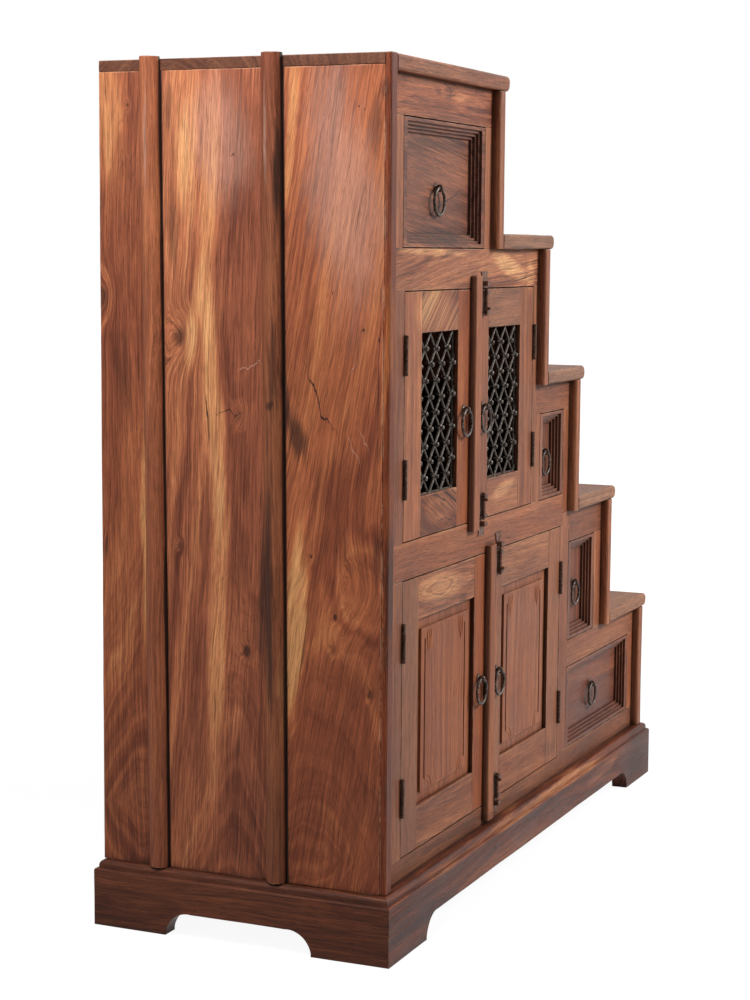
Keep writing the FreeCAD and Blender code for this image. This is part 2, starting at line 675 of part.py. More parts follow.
def doors(stiles):
    upper = door_sizes(upper_doors, grille_stile_width, grille_rail_width, upper_hinge_inset)
    lower = door_sizes(lower_doors, panel_stile_width, panel_rail_width, lower_hinge_inset)
    plans = (("upper", upper, grille, "grille", upper_ring_drop, upper_strip_above, upper_strip_below),
             ("lower", lower, raised_panel, "panel", lower_ring_drop, lower_strip_above, lower_strip_below))
    frame_hinges, keepers = [], []
    for name, s, infill, infill_name, drop, above, below in plans:
        flip = lambda shape: shape.mirror(V(s["middle"], 0, 0), V(1, 0, 0))
        frame, filling = door_frame(s), infill(s)
        ring_x = s["middle"] - strip_width / 2 - ring_to_strip
        ring_z = (s["z0"] + s["z1"]) / 2 - drop
        pull_eye, pull = eye(ring_x, ring_z, face_front), ring(ring_x, ring_z, face_front)
        halves = [hinge_halves(s, z) for z in s["hinges"]]
        left_fittings = [half[1] for half in halves] + [pull_eye]
        bolt_x = 2 * s["middle"] - ring_x
        bolts = {"top": bolt(bolt_x, s["z1"], 1), "bottom": bolt(bolt_x, s["z0"], -1)}
        right_fittings = [flip(shape) for shape in left_fittings]
        for place, (guides, bar, keeper) in bolts.items():
            right_fittings.append(guides)
            keepers.append(keeper)
            save(name + "_" + place + "_bolt", bar)
        frame_hinges += [half[0] for half in halves] + [flip(half[0]) for half in halves]
        for z in s["hinges"]:
            mortise = hinge_mortise(s, z, False)
            left, right = ("upper_left", "upper_right") if name == "upper" else ("lower_left", "divider")
            stiles[left] = stiles[left].cut(mortise)
            stiles[right] = stiles[right].cut(flip(mortise))
        save(name + "_left_door_frame", *frame)
        save(name + "_right_door_frame", *[flip(piece) for piece in frame])
        save(name + "_left_" + infill_name, filling)
        save(name + "_right_" + infill_name, flip(filling))
        save(name + "_left_fittings", *left_fittings)
        save(name + "_right_fittings", *right_fittings)
        save(name + "_left_ring", pull)
        save(name + "_right_ring", flip(pull))
        save(name + "_cover_strip", cover_strip(s, above, below))
    save("frame_hinges", *frame_hinges)
    save("bolt_keepers", *keepers)


# Drawers, named by the step that they are under

def drawers():
    runners = []
    for level, (x0, x1, z0, z1) in drawer_openings.items():
        name = "drawer_" + str(level)
        left, right, low, high = x0 + front_gap, x1 - front_gap, z0 + front_gap, z1 - front_gap
        front_back = face_front + drawer_front_thickness
        front = box(left, right, face_front, front_back, low, high)
        for i in range(moulding_steps):
            side, end = border_side + i * moulding_step_width, border_top + i * moulding_step_width
            sunk = face_front + (i + 1) * moulding_step_depth
            front = front.cut(box(left + side, right - side, face_front - over, sunk, low + end, high - end))
        save(name + "_front", front)

        panel_y = face_front + moulding_steps * moulding_step_depth
        ring_x, ring_z = (left + right) / 2, (low + high) / 2 - drawer_ring_drops[level]
        save(name + "_eye", eye(ring_x, ring_z, panel_y))
        save(name + "_ring", ring(ring_x, ring_z, panel_y))

        bx0, bx1, bz0, bz1 = left + box_inset, right - box_inset, low + box_lift, high - box_drop
        t, back = box_side_thickness, back_front - box_back_gap
        sides_z = bz0 + box_bottom_thickness
        save(name + "_box",
             box(bx0, bx1, front_back, back, bz0, sides_z),
             box(bx0, bx0 + t, front_back, back, sides_z, bz1),
             box(bx1 - t, bx1, front_back, back, sides_z, bz1),
             box(bx0 + t, bx1 - t, back - t, back, sides_z, bz1 - box_back_drop))

        floor, seat = drawer_floors[level], bz0 - runner_clearance
        y0, y1 = face_back, back_front - runner_back_gap
        for inside, outside, sign in ((bx0 + runner_width, bx0, -1), (bx1 - runner_width, bx1, 1)):
            guide_in = outside + sign * guide_play
            guide_out = guide_in + sign * guide_thickness
            across = lambda a, b, ya, yb, za, zb: box(min(a, b), max(a, b), ya, yb, za, zb)
            runner = across(inside, guide_out, y0, y1, floor, seat)
            runner = runner.fuse(across(guide_in, guide_out, y0, y1, seat, seat + guide_rise))
            stop_y = back + stop_clearance
            stop = across(inside, guide_in, stop_y, stop_y + stop_length, seat, seat + stop_rise)
            runners.append(runner.fuse(stop).removeSplitter())
    save("drawer_runners", *runners)


os.makedirs("parts", exist_ok=True)
plinth()
carcass()
face_stiles = face_frame()
doors(face_stiles)
save("face_stiles", *face_stiles.values())
drawers()
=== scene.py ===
# %% [markdown]
# # A stepped cabinet in solid rosewood
#
# The cabinet stands against a wall like a flight of five steps. Its tall left side is made of three upright
# boards, its front holds two pairs of doors and four drawers, and black iron does the rest: a lattice in
# the upper doors, ring pulls, slide bolts and hinges.
#
# The imported model is the skeleton. It gives every board and fitting its place, so the first step loads it.

# %% Load the skeleton
import json
import math
import random
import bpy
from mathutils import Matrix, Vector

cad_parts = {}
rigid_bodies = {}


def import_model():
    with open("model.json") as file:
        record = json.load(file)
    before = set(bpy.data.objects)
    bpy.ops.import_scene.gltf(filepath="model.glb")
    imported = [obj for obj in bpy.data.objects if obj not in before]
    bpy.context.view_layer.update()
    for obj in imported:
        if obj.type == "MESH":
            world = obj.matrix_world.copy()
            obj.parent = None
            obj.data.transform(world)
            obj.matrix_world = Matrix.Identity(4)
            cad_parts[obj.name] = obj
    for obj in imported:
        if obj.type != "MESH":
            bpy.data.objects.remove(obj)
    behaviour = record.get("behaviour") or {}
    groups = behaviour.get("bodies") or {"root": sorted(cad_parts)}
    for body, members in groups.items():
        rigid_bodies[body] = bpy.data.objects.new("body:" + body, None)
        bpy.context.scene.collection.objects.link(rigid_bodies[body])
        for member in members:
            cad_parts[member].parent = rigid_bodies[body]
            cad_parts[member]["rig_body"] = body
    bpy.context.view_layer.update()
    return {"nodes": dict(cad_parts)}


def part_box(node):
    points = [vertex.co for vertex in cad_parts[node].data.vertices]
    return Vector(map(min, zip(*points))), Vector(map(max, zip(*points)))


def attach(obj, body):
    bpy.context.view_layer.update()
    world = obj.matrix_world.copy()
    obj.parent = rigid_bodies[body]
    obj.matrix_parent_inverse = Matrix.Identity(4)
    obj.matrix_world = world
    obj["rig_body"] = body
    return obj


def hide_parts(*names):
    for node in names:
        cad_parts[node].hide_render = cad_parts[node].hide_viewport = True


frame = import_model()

from types import SimpleNamespace

import bmesh
import bpy
from mathutils import Matrix, Vector, noise

scene = bpy.context.scene
nodes = frame["nodes"]

# %% [markdown]
# ## Camera
#
# The photograph was taken from the left, a little above the middle of the cabinet and fairly close, so that
# the tall side is seen nearly square on and the front is strongly foreshortened. The camera's place,
# heading and lens were worked out from the edges of the tall side, the steps and the plinth. A camera looks
# along its own minus Z, so its matrix is built from three directions: right, up and back.

# %% Camera
camera_place = Vector((-3.6572, -1.5328, 1.1089))
heading = math.radians(66.289)
dip = math.radians(6.689)
tilt = math.radians(0.4253)
film_height = 36.0
lens_length = 77.218

forward = Vector((math.sin(heading) * math.cos(dip), math.cos(heading) * math.cos(dip), -math.sin(dip)))
level_right = Vector((math.cos(heading), -math.sin(heading), 0))
level_up = level_right.cross(forward)
right = level_right * math.cos(tilt) + level_up * math.sin(tilt)
up = level_up * math.cos(tilt) - level_right * math.sin(tilt)

lens = bpy.data.cameras.new("photo_camera")
lens.sensor_fit = "VERTICAL"
lens.sensor_height = film_height
lens.lens = lens_length
camera = bpy.data.objects.new("photo_camera", lens)
turn = Matrix((right, up, -forward)).transposed()
camera.matrix_world = Matrix.Translation(camera_place) @ turn.to_4x4()
scene.collection.objects.link(camera)
scene.camera = camera
scene.view_settings.view_transform = "Standard"
print("camera at", tuple(round(c, 3) for c in camera_place), "with a lens of", lens_length, "mm")

# %% [markdown]
# ## Telling the boards apart
#
# A node of the skeleton can hold several boards, such as the four parts of a door frame. Each one has to
# get its own grain, because nothing looks less like joinery than one figure that runs across a joint. The
# triangles of a node are stored board by board, and a board is complete when every edge has met its
# opposite, so that is where the list is cut.

# %% Split a node into boards
weld_step = 1e-5


def boards_of(name):
    mesh = nodes[name].data
    boards = []
    triangles = []
    waiting = {}
    for polygon in mesh.polygons:
        points = [mesh.vertices[i].co.copy() for i in polygon.vertices]
        triangles.append(points)
        keys = [tuple(round(c / weld_step) for c in point) for point in points]
        for start, end in zip(keys, keys[1:] + keys[:1]):
            if waiting.get((end, start)):
                waiting[(end, start)] -= 1
                if not waiting[(end, start)]:
                    del waiting[(end, start)]
            else:
                waiting[(start, end)] = waiting.get((start, end), 0) + 1
        if not waiting:
            boards.append(triangles)
            triangles = []
    return boards


print("the tall side has", len(boards_of("side_boards")), "boards")

# %% [markdown]
# ## Working a board
#
# A board is sawn, planed by hand and rubbed down, so its arrises are eased and its faces are never quite
# flat. Each board is welded, cleaned of the triangles' edges, bevelled, cut across its length every few
# centimetres and then pushed in and out by a fraction of a millimetre. Pushing is held inside the node's
# own box.

# %% Board helpers
waves_per_metre, ripples_per_metre = 22, 60
length_share = 0.3


def box_of(points):
    low = Vector((min(p[i] for p in points) for i in range(3)))
    high = Vector((max(p[i] for p in points) for i in range(3)))
    return low, high


def cut_across(work, axis, low, high, step):
    count = int((high - low) / step)
    direction = Vector((0, 0, 0))
    direction[axis] = 1
    for i in range(1, count + 1):
        place = Vector((0, 0, 0))
        place[axis] = low + (high - low) * i / (count + 1)
        bmesh.ops.bisect_plane(work, geom=work.verts[:] + work.edges[:] + work.faces[:], dist=1e-6,
                               plane_co=place, plane_no=direction)


def ease_arrises(work, width, segments=2, sharp=math.radians(28)):
    arrises = [e for e in work.edges if len(e.link_faces) == 2 and e.calc_face_angle(0) > sharp]
    if arrises and width:
        bmesh.ops.bevel(work, geom=arrises, offset=width, segments=segments, profile=0.5, affect="EDGES",
                        clamp_overlap=True, material=-1)


def push(work, amount, grain_axis, seed, low, high):
    """Waves in the faces. They run long along the grain."""
    for vertex in work.verts:
        place = vertex.co.copy()
        place[grain_axis] *= length_share
        wave = noise.noise(place * waves_per_metre + Vector((seed, seed * 1.7, 0)))
        fine = noise.noise(vertex.co * ripples_per_metre + Vector((0, seed, seed)))
        vertex.co += vertex.normal * amount * (wave * 1.3 + fine * 0.5)
        for i in range(3):
            vertex.co[i] = min(max(vertex.co[i], low[i]), high[i])


print("a wave is about", round(1 / waves_per_metre, 3), "m wide")

# %% [markdown]
# ## Grain that travels with the board
#
# The material has to know where in its board a point lies. So each point carries attributes: how far along,
# across and into the board it lies, how far it is from the heart of the tree, and how far from the board's
# edges. All of these change evenly over the board, so a few points are enough to carry them. Chance draws
# what the photograph doesn't show.

# %% Grain and looks
arch_length = 0.25


def mark_grain(work, low, high, grain_axis, look):
    """Writes the board's grain into its points. look says where the heart and the sapwood lie."""
    size = high - low
    across, into = sorted((i for i in range(3) if i != grain_axis), key=lambda i: -size[i])
    names = ("grain", "heart", "tone", "sap", "below", "above")
    grain, heart, tone, sap, below, above = (work.verts.layers.float_vector.new(name) for name in names)
    offset, slant = look["offset"], look["slant"]
    for vertex in work.verts:
        u = vertex.co[grain_axis] - low[grain_axis]
        v = vertex.co[across] - (low[across] + high[across]) / 2
        w = vertex.co[into] - (low[into] + high[into]) / 2
        vertex[grain] = (u + offset, v + slant * u + offset * 0.37, w + offset * 0.71)
        near_arch = 1 - look["arch"] * math.exp(-abs(u - look["arch_from"]) / arch_length)
        vertex[heart] = (u, v - look["heart_across"] + slant * u, w - look["heart_into"] * near_arch)
        vertex[tone] = (look["light"], look["red"], look["figure"])
        off_sap = v - look["sap_across"] + look["sap_slant"] * u
        vertex[sap] = (off_sap, look["sap_width"], look["sap_strength"])
        vertex[below] = vertex.co - low
        vertex[above] = high - vertex.co


def random_look(draw, width):
    return {
        "offset": draw.uniform(0, 40),
        "heart_across": draw.uniform(-0.6, 0.6) * width,
        "heart_into": draw.choice((-1, 1)) * draw.uniform(0.06, 0.18),
        "slant": draw.uniform(-0.03, 0.03),
        "arch": draw.choice((0, 0, 0.5, 0.8)),
        "arch_from": draw.uniform(0, 1),
        "light": draw.uniform(-0.5, 0.4),
        "red": draw.uniform(-0.5, 0.5),
        "figure": draw.uniform(0.3, 1.0),
        "sap_across": draw.uniform(-0.6, 0.6) * width,
        "sap_slant": draw.uniform(-0.03, 0.03),
        "sap_width": draw.uniform(0.004, 0.02),
        "sap_strength": draw.choice((0, 0, 0.3, 0.5)),
    }


print("a look has", len(random_look(random.Random(1), 0.1)), "values")

# %% [markdown]
# ## The wood
#
# The cabinet is Indian rosewood, rubbed with dark wax: red-brown heartwood crossed by fine dark lines,
# golden streaks, arched figure where a board was cut near the outside of the log, and knots. Such a
# material is a net of many small nodes. One helper adds any node and fills its sockets, and the others name
# the few kinds that this net needs, so that it can be written like a formula.

# %% Node helpers


def paint(red, green, blue):
    """A colour as a painter's 0-255 numbers, in the linear form that the shader wants."""
    return tuple(((c / 255 + 0.055) / 1.055) ** 2.4 for c in (red, green, blue)) + (1,)


def start_material(name):
    material = bpy.data.materials.new(name)
    material.use_nodes = True
    return material, material.node_tree, material.node_tree.nodes["Principled BSDF"]


def feed(tree, value, socket):
    if isinstance(value, bpy.types.NodeSocket):
        tree.links.new(value, socket)
    elif value is not None:
        socket.default_value = value


def add_node(tree, kind, inputs=None, **settings):
    """inputs gives each socket, by its name or number, a value or another node's socket."""
    node = tree.nodes.new("ShaderNode" + kind)
    for name, value in settings.items():
        setattr(node, name, value)
    for key, value in (inputs or {}).items():
        feed(tree, value, node.inputs[key])
    return node


def calc(tree, operation, *values, clamp=False):
    return add_node(tree, "Math", dict(enumerate(values)), operation=operation, use_clamp=clamp).outputs[0]


def times(tree, first, second):
    return calc(tree, "MULTIPLY", first, second)


def vector(tree, operation, *values):
    node = add_node(tree, "VectorMath", dict(enumerate(values)), operation=operation)
    return next(s for s in node.outputs if s.enabled)


def clouds(tree, place, stretch, detail=2.0, roughness=0.5, output="Fac"):
    place = vector(tree, "MULTIPLY", place, stretch)
    inputs = {"Vector": place, "Scale": 1, "Detail": detail, "Roughness": roughness}
    return add_node(tree, "TexNoise", inputs).outputs[output]


def bands(tree, distance, density, detail=2.0, roughness=0.5):
    inputs = {"W": times(tree, distance, density), "Scale": 1, "Detail": detail, "Roughness": roughness}
    return add_node(tree, "TexNoise", inputs, noise_dimensions="1D").outputs["Fac"]


def fade(tree, value, start, end, low=0.0, high=1.0):
    inputs = {"Value": value, "From Min": start, "From Max": end, "To Min": low, "To Max": high}
    return add_node(tree, "MapRange", inputs, interpolation_type="SMOOTHSTEP").outputs[0]


def mix(tree, share, first, second, way="MIX"):
    inputs = {"Factor": share, 6: first, 7: second}
    return add_node(tree, "Mix", inputs, data_type="RGBA", blend_type=way).outputs[2]


def scale_of_colours(tree, value, stops):
    node = add_node(tree, "ValToRGB", {0: value})
    elements = node.color_ramp.elements
    while len(elements) < len(stops):
        elements.new(0.5)
    for element, (place, colour) in zip(elements, stops):
        element.position = place
        element.color = colour
    return node.outputs[0]


def read(tree, name):
    return add_node(tree, "Attribute", attribute_name=name).outputs["Vector"]


def parts(tree, value):
    return add_node(tree, "SeparateXYZ", {0: value}).outputs


def emboss(tree, height, distance, shader):
    bump = add_node(tree, "Bump", {"Strength": 0.4, "Distance": distance, "Height": height})
    feed(tree, bump.outputs[0], shader.inputs["Normal"])


def weigh(tree, base, *terms):
    """base plus each noise's distance from its middle value, times its weight."""
    for value, weight in terms:
        base = calc(tree, "MULTIPLY_ADD", calc(tree, "SUBTRACT", value, 0.5), weight, base)
    return base


def oval(tree, place, centre, reach, lean=0.0, axis=0):
    """How far a point is from the centre of an oval mark that leans about an axis. Its edge is at 1."""
    inputs = {"Vector": place, "Location": centre, "Scale": reach}
    node = add_node(tree, "Mapping", inputs, vector_type="TEXTURE")
    node.inputs["Rotation"].default_value[axis] = math.radians(lean)
    return vector(tree, "LENGTH", node.outputs[0])


print("half grey in the shader's own form:", round(paint(128, 128, 128)[0], 3))

# %% [markdown]
# ## Growth lines and fibres
#
# A board shows a slice through the rings of the tree. The ring that a point belongs to follows from its
# distance to the heart, so the same noise, read along that distance, draws the lines of every board. Fibres
# and pores are noise that is stretched along the grain. A knot adds to the distance around it, which makes
# lines and fibres flow past.

# %% Growth
tall_side = -0.684


def growth_of(tree, place, knots, spacing):
    """knots are (y, z, radius, bend, darkness) on the tall side."""
    grain = read(tree, "grain")
    heart = parts(tree, read(tree, "heart"))
    slow = parts(tree, clouds(tree, grain, (0.9, 4, 4), 2, 0.5, "Color"))
    wavy = parts(tree, clouds(tree, grain, (5, 22, 22), 3, 0.6, "Color"))
    across = weigh(tree, heart[1], (slow[0], 0.08), (wavy[0], 0.012))
    into = weigh(tree, heart[2], (slow[1], 0.07), (wavy[1], 0.010))
    distance = calc(tree, "SQRT", calc(tree, "ADD", times(tree, across, across),
                                       times(tree, into, into)))
    aside = across
    knot_dark = 0.0
    for y, z, radius, bend, darkness in knots:
        away = oval(tree, place, (tall_side, y, z), (radius, radius, radius * 1.6))
        away = weigh(tree, away, (wavy[2], 1.6), (slow[2], 1.0))
        pull = fade(tree, away, 0, 3.4, 1, 0)
        pull = times(tree, times(tree, pull, pull), bend)
        distance = calc(tree, "ADD", distance, pull)
        aside = calc(tree, "ADD", aside, pull)
        if darkness:
            core = times(tree, fade(tree, away, 0.5, 1.1, 1, 0), darkness)
            knot_dark = calc(tree, "MAXIMUM", core, knot_dark)
    flow = {0: parts(tree, grain)[0], 1: aside, 2: parts(tree, grain)[2]}
    flow = add_node(tree, "CombineXYZ", flow).outputs[0]
    return SimpleNamespace(
        grain=grain, slow=slow, wavy=wavy, knot_dark=knot_dark,
        fibres=clouds(tree, flow, (5, 330, 330), 3, 0.7),
        threads=clouds(tree, flow, (18, 900, 900), 2, 0.6),
        dashes=clouds(tree, grain, (26, 560, 560), 2, 0.6),
        lines=bands(tree, distance, 1 / spacing, 3, 0.6),
        broad=bands(tree, distance, 24, 2, 0.5),
        narrow=bands(tree, distance, 1.7 / spacing, 1, 0.5),
        patches=clouds(tree, grain, (2.2, 9, 9), 3, 0.6),
        cloudy=clouds(tree, place, (6, 6, 6), 4, 0.65))


print("the tall side's face lies at x =", tall_side)

# %% [markdown]
# ## Marks that belong to one place
#
# The real boards can be told by their golden swooshes, stains, nails and scratches. Each is an oval whose
# edge is frayed by noise. A pale one lifts the brown before it is chosen, so that its edge follows the
# growth lines as sapwood does. A dark one is a stain, mixed over the wood later, and so is a pale veil:
# scratches, and also painted sheen and highlights.

# %% Marks
any_depth = 9.0
lifts = {"gold": 0.46, "honey": 0.30, "warm": 0.16}
front_sway, side_sway = (0.03, 0.032, 0.02), (0.02, 0.032, 0.06)


def lay_marks(tree, place, marks, faces_front, growth):
    """marks are (colour, place across the face, height, half width, half height, lean, strength)."""
    sway = clouds(tree, growth.grain, (3, 26, 26), 4, 0.6, "Color")
    sway = vector(tree, "SUBTRACT", sway, (0.5, 0.5, 0.5))
    sway = vector(tree, "MULTIPLY", sway, front_sway if faces_front else side_sway)
    swayed = vector(tree, "ADD", place, sway)
    lift = 0.0
    stains_and_sheen = []
    for colour, side, z, half, half_z, lean, strength in marks:
        if faces_front:
            away = oval(tree, swayed, (side, 0, z), (half, any_depth, half_z), lean, 1)
        else:
            away = oval(tree, swayed, (0, side, z), (any_depth, half, half_z), lean)
        if colour in lifts:
            away = weigh(tree, away, (growth.lines, 0.9), (growth.fibres, 0.5), (growth.wavy[0], 0.8))
            inside = fade(tree, away, 0.5, 1.15, 1, 0)
            lift = calc(tree, "MULTIPLY_ADD", inside, strength * lifts[colour], lift)
        else:
            away = weigh(tree, away, (growth.fibres, 1.1), (growth.cloudy, 0.9))
            stains_and_sheen.append((colour, times(tree, fade(tree, away, 0.35, 1.15, 1, 0), strength)))
    return lift, stains_and_sheen


print("pale marks lift the brown by", lifts)

# %% [markdown]
# ## Heartwood and sapwood
#
# Crisp zones, lines, fibres and patches are added up, and a ramp turns the sum into one of five browns.
# Thin dark contour lines go on top, strong in figured boards and weak in plain ones. Some boards have a
# streak of sapwood: gold, with a dark thread along its rim.

# %% Heart and sap
browns = ((0.24, "deep"), (0.45, "mid"), (0.60, "warm"), (0.80, "honey"), (1.0, "gold"))
sap_golds = ((0.30, "warm"), (0.50, "gold"), (0.72, "honey"))


def ramp(tree, value, palette, stops):
    return scale_of_colours(tree, value, [(place, palette[shade]) for place, shade in stops])


def heartwood(tree, palette, figure, lift, growth):
    zone = weigh(tree, growth.broad, (growth.fibres, 0.10), (growth.wavy[2], 0.12))
    zone = fade(tree, zone, 0.47, 0.53, -0.06, 0.06)
    choice = calc(tree, "MULTIPLY_ADD", zone, figure, 0.5)
    choice = weigh(tree, choice, (growth.patches, 0.6), (growth.fibres, 0.36),
                   (growth.lines, times(tree, figure, 0.42)))
    brown = ramp(tree, calc(tree, "ADD", choice, lift), palette, browns)
    thin = fade(tree, calc(tree, "ABSOLUTE", calc(tree, "SUBTRACT", growth.narrow, 0.5)), 0.0, 0.055, 1, 0)
    thin = times(tree, thin, fade(tree, figure, 0.9, 2.0, 0.3, 2.0))
    thin = times(tree, thin, fade(tree, growth.patches, 0.40, 0.60, 0.2, 1))
    thin = times(tree, thin, fade(tree, growth.fibres, 0.62, 0.40, 0.1, 0.7))
    return mix(tree, thin, brown, palette["line"])


def add_sapwood(tree, wood, palette, growth):
    place, width, strength = parts(tree, read(tree, "sap"))
    gold = weigh(tree, 0.5, (growth.lines, 0.5), (growth.fibres, 0.9))
    gold = ramp(tree, gold, palette, sap_golds)
    off = calc(tree, "ABSOLUTE", weigh(tree, place, (growth.slow[2], 0.05), (growth.wavy[2], 0.014)))
    off = weigh(tree, calc(tree, "DIVIDE", off, width), (growth.fibres, 0.5))
    rim = fade(tree, calc(tree, "ABSOLUTE", calc(tree, "SUBTRACT", off, 1.05)), 0.0, 0.22, 0.5, 0)
    wood = mix(tree, times(tree, fade(tree, off, 0.55, 1.05, 1, 0), strength), wood, gold)
    return mix(tree, times(tree, rim, strength), wood, palette["line"])


print("a ramp of", len(browns), "browns; sapwood has", len(sap_golds))

# %% [markdown]
# ## Fibres, wear, dirt and painted shade
#
# Fine fibres are laid over the brown as light and dark, and pores as short dark dashes. Then each board
# gets its own tone. Hands and cloths wear the arrises paler. Where two surfaces meet, which an ambient
# occlusion node finds, and along one edge of each batten, painted shade darkens the wood, mixed with dust.

# %% Surface
black, white = (0, 0, 0, 1), (1, 1, 1, 1)
corner_reach = 0.016


def add_fibres(tree, wood, figure, growth):
    grey = weigh(tree, 0.5, (growth.fibres, 0.5), (growth.threads, 1.2), (growth.dashes, 0.6))
    grey = scale_of_colours(tree, grey, ((0, black), (1, white)))
    return mix(tree, calc(tree, "MULTIPLY_ADD", figure, 0.3, 0.6, clamp=True), wood, grey, "OVERLAY")


def tone(tree, wood, light, red, growth):
    value = weigh(tree, calc(tree, "MULTIPLY_ADD", light, 0.22, 1.0), (growth.cloudy, 0.5))
    inputs = {"Value": value, "Saturation": calc(tree, "MULTIPLY_ADD", red, 0.10, 1.0),
              "Hue": calc(tree, "MULTIPLY_ADD", red, -0.006, 0.5), "Color": wood}
    return add_node(tree, "HueSaturation", inputs).outputs[0]


def wear(tree, place, wood, palette, grime):
    near = parts(tree, vector(tree, "MINIMUM", read(tree, "below"), read(tree, "above")))
    least = calc(tree, "MINIMUM", near[0], near[1])
    most = calc(tree, "MAXIMUM", near[0], near[1])
    edge = calc(tree, "MAXIMUM", least, calc(tree, "MINIMUM", most, near[2]))
    dirt_and_shade = clouds(tree, place, (30, 30, 30), 4, 0.65)
    worn = times(tree, fade(tree, edge, 0.0004, 0.0024, 1, 0), fade(tree, dirt_and_shade, 0.42, 0.60))
    wood = mix(tree, times(tree, worn, 0.5), wood, palette["worn"])
    # Ambient occlusion paints shade into corners and between parts, patched with noise for dust.
    corner = add_node(tree, "AmbientOcclusion", {"Distance": corner_reach}, samples=6)
    corner_shade = fade(tree, corner.outputs["AO"], 0.30, 0.95, 1, 0)
    corner_shade = times(tree, corner_shade, calc(tree, "MULTIPLY_ADD", dirt_and_shade, 0.9, 0.4, clamp=True))
    return mix(tree, times(tree, corner_shade, grime), wood, palette["grime"])


def paint_seam_shadow(tree, place, wood, colour, foot, lean, half):
    """A painted shadow line, with some dirt, at y = foot on the floor, that leans back as it rises."""
    side, depth, height = parts(tree, place)
    off = calc(tree, "SUBTRACT", calc(tree, "MULTIPLY_ADD", height, -lean, depth), foot)
    dark = fade(tree, calc(tree, "ABSOLUTE", off), half * 0.6, half * 1.5, 1, 0)
    return mix(tree, times(tree, dark, 0.95), wood, colour)


print("dirt gathers within", corner_reach, "m of a corner")

# %% [markdown]
# ## Rosewood, put together
#
# The steps above follow each other like the work on the real boards: grow, stain, rub, wear. The same
# fibres and pores then drive the roughness and a shallow relief, so that gloss and colour agree.

# %% Rosewood


def rosewood(name, palette, spacing=0.0065, gloss=0.42, grime=0.8, knots=(), marks=(), shadow_seams=(),
             faces_front=False, left_shade_and_dirt=0.0):
    """The marks lie on a face that looks to the left, or to the front if faces_front is set. The last
    argument paints shade, with some dirt, on what looks to the left."""
    material, tree, shader = start_material(name)
    shader.inputs["Specular IOR Level"].default_value = 0.14
    coordinates = add_node(tree, "TexCoord")
    place = coordinates.outputs["Object"]
    light, red, figure = parts(tree, read(tree, "tone"))
    growth = growth_of(tree, place, knots, spacing)
    lift, stains_and_sheen = lay_marks(tree, place, marks, faces_front, growth)

    wood = heartwood(tree, palette, figure, lift, growth)
    wood = add_sapwood(tree, wood, palette, growth)
    for colour, share in stains_and_sheen:
        wood = mix(tree, share, wood, palette[colour])
    if knots:
        wood = mix(tree, growth.knot_dark, wood, palette["line"])
    wood = add_fibres(tree, wood, figure, growth)
    pores = fade(tree, calc(tree, "MAXIMUM", growth.threads, growth.dashes), 0.60, 0.69)
    wood = mix(tree, times(tree, pores, 0.55), wood, palette["line"])
    wood = tone(tree, wood, light, red, growth)
    wood = wear(tree, place, wood, palette, grime)
    for foot, lean, half in shadow_seams:
        wood = paint_seam_shadow(tree, place, wood, palette["grime"], foot, lean, half)
    # Faces that look to the left, away from the key lamp, get painted shade with some dirt.
    if left_shade_and_dirt:
        facing = parts(tree, coordinates.outputs["Normal"])[0]
        wood = mix(tree, fade(tree, facing, -0.2, -0.7, 0, left_shade_and_dirt), wood, palette["grime"])
    feed(tree, wood, shader.inputs["Base Color"])

    rough = weigh(tree, gloss, (growth.fibres, 0.35), (growth.patches, 0.2), (growth.cloudy, 0.25))
    feed(tree, calc(tree, "MULTIPLY_ADD", pores, 0.2, rough, clamp=True), shader.inputs["Roughness"])
    height = calc(tree, "MULTIPLY_ADD", growth.fibres, 0.7, times(tree, pores, -0.6))
    height = calc(tree, "MULTIPLY_ADD", growth.cloudy, 2.0, height)
    emboss(tree, height, 0.0007, shader)
    return material


# %% [markdown]
# ## Palettes
#
# Five sets of shades: the red and brown tall side, the golden front, the darker drawers and trims, the
# inside, which is darkened as painted shade, and the plinth, which is the darkest of what shows. Each shade
# is a painter's colour.

# %% Palettes


def palette_of(**shades):
    return {name: paint(*shade) for name, shade in shades.items()}


# In each set grime serves stains as well as painted shade; the side's pale veil serves scratches as well as
# painted sheen.
side_palette = palette_of(
    deep=(86, 42, 28), mid=(124, 68, 46), warm=(150, 88, 58), honey=(174, 114, 74),
    gold=(190, 136, 90), line=(46, 25, 18), grime=(24, 16, 14), worn=(190, 142, 112),
    veil=(168, 128, 112))
front_palette = palette_of(
    deep=(94, 50, 33), mid=(132, 79, 55), warm=(154, 97, 67), honey=(180, 123, 85),
    gold=(200, 147, 101), line=(54, 31, 24), grime=(26, 17, 14), worn=(186, 144, 116))
trim_palette = palette_of(
    deep=(74, 42, 32), mid=(108, 68, 52), warm=(130, 84, 63), honey=(156, 104, 76),
    gold=(170, 122, 86), line=(40, 25, 20), grime=(20, 14, 12), worn=(176, 136, 112))
# The inside is painted darker than its wood, as the shade within the closed cupboards.
shaded_inner_palette = palette_of(
    deep=(36, 24, 18), mid=(50, 33, 25), warm=(60, 40, 30), honey=(72, 49, 36),
    gold=(84, 60, 44), line=(24, 16, 12), grime=(12, 9, 7), worn=(74, 54, 42))
plinth_palette = palette_of(
    deep=(52, 27, 19), mid=(82, 46, 32), warm=(108, 64, 45), honey=(140, 92, 64),
    gold=(170, 120, 84), line=(34, 20, 15), grime=(19, 13, 11), worn=(160, 122, 100))

palettes = (side_palette, front_palette, trim_palette, shaded_inner_palette, plinth_palette)
print("the red in each middle brown:", [round(shades["mid"][0], 3) for shades in palettes])

# %% [markdown]
# ## Knots, stains and streaks
#
# These lists put the marks where the real boards have them. Places and sizes are metres on the cabinet: for
# the tall side the distance from its middle towards the back and the height, for the front the distance
# from the middle to the right and the height.

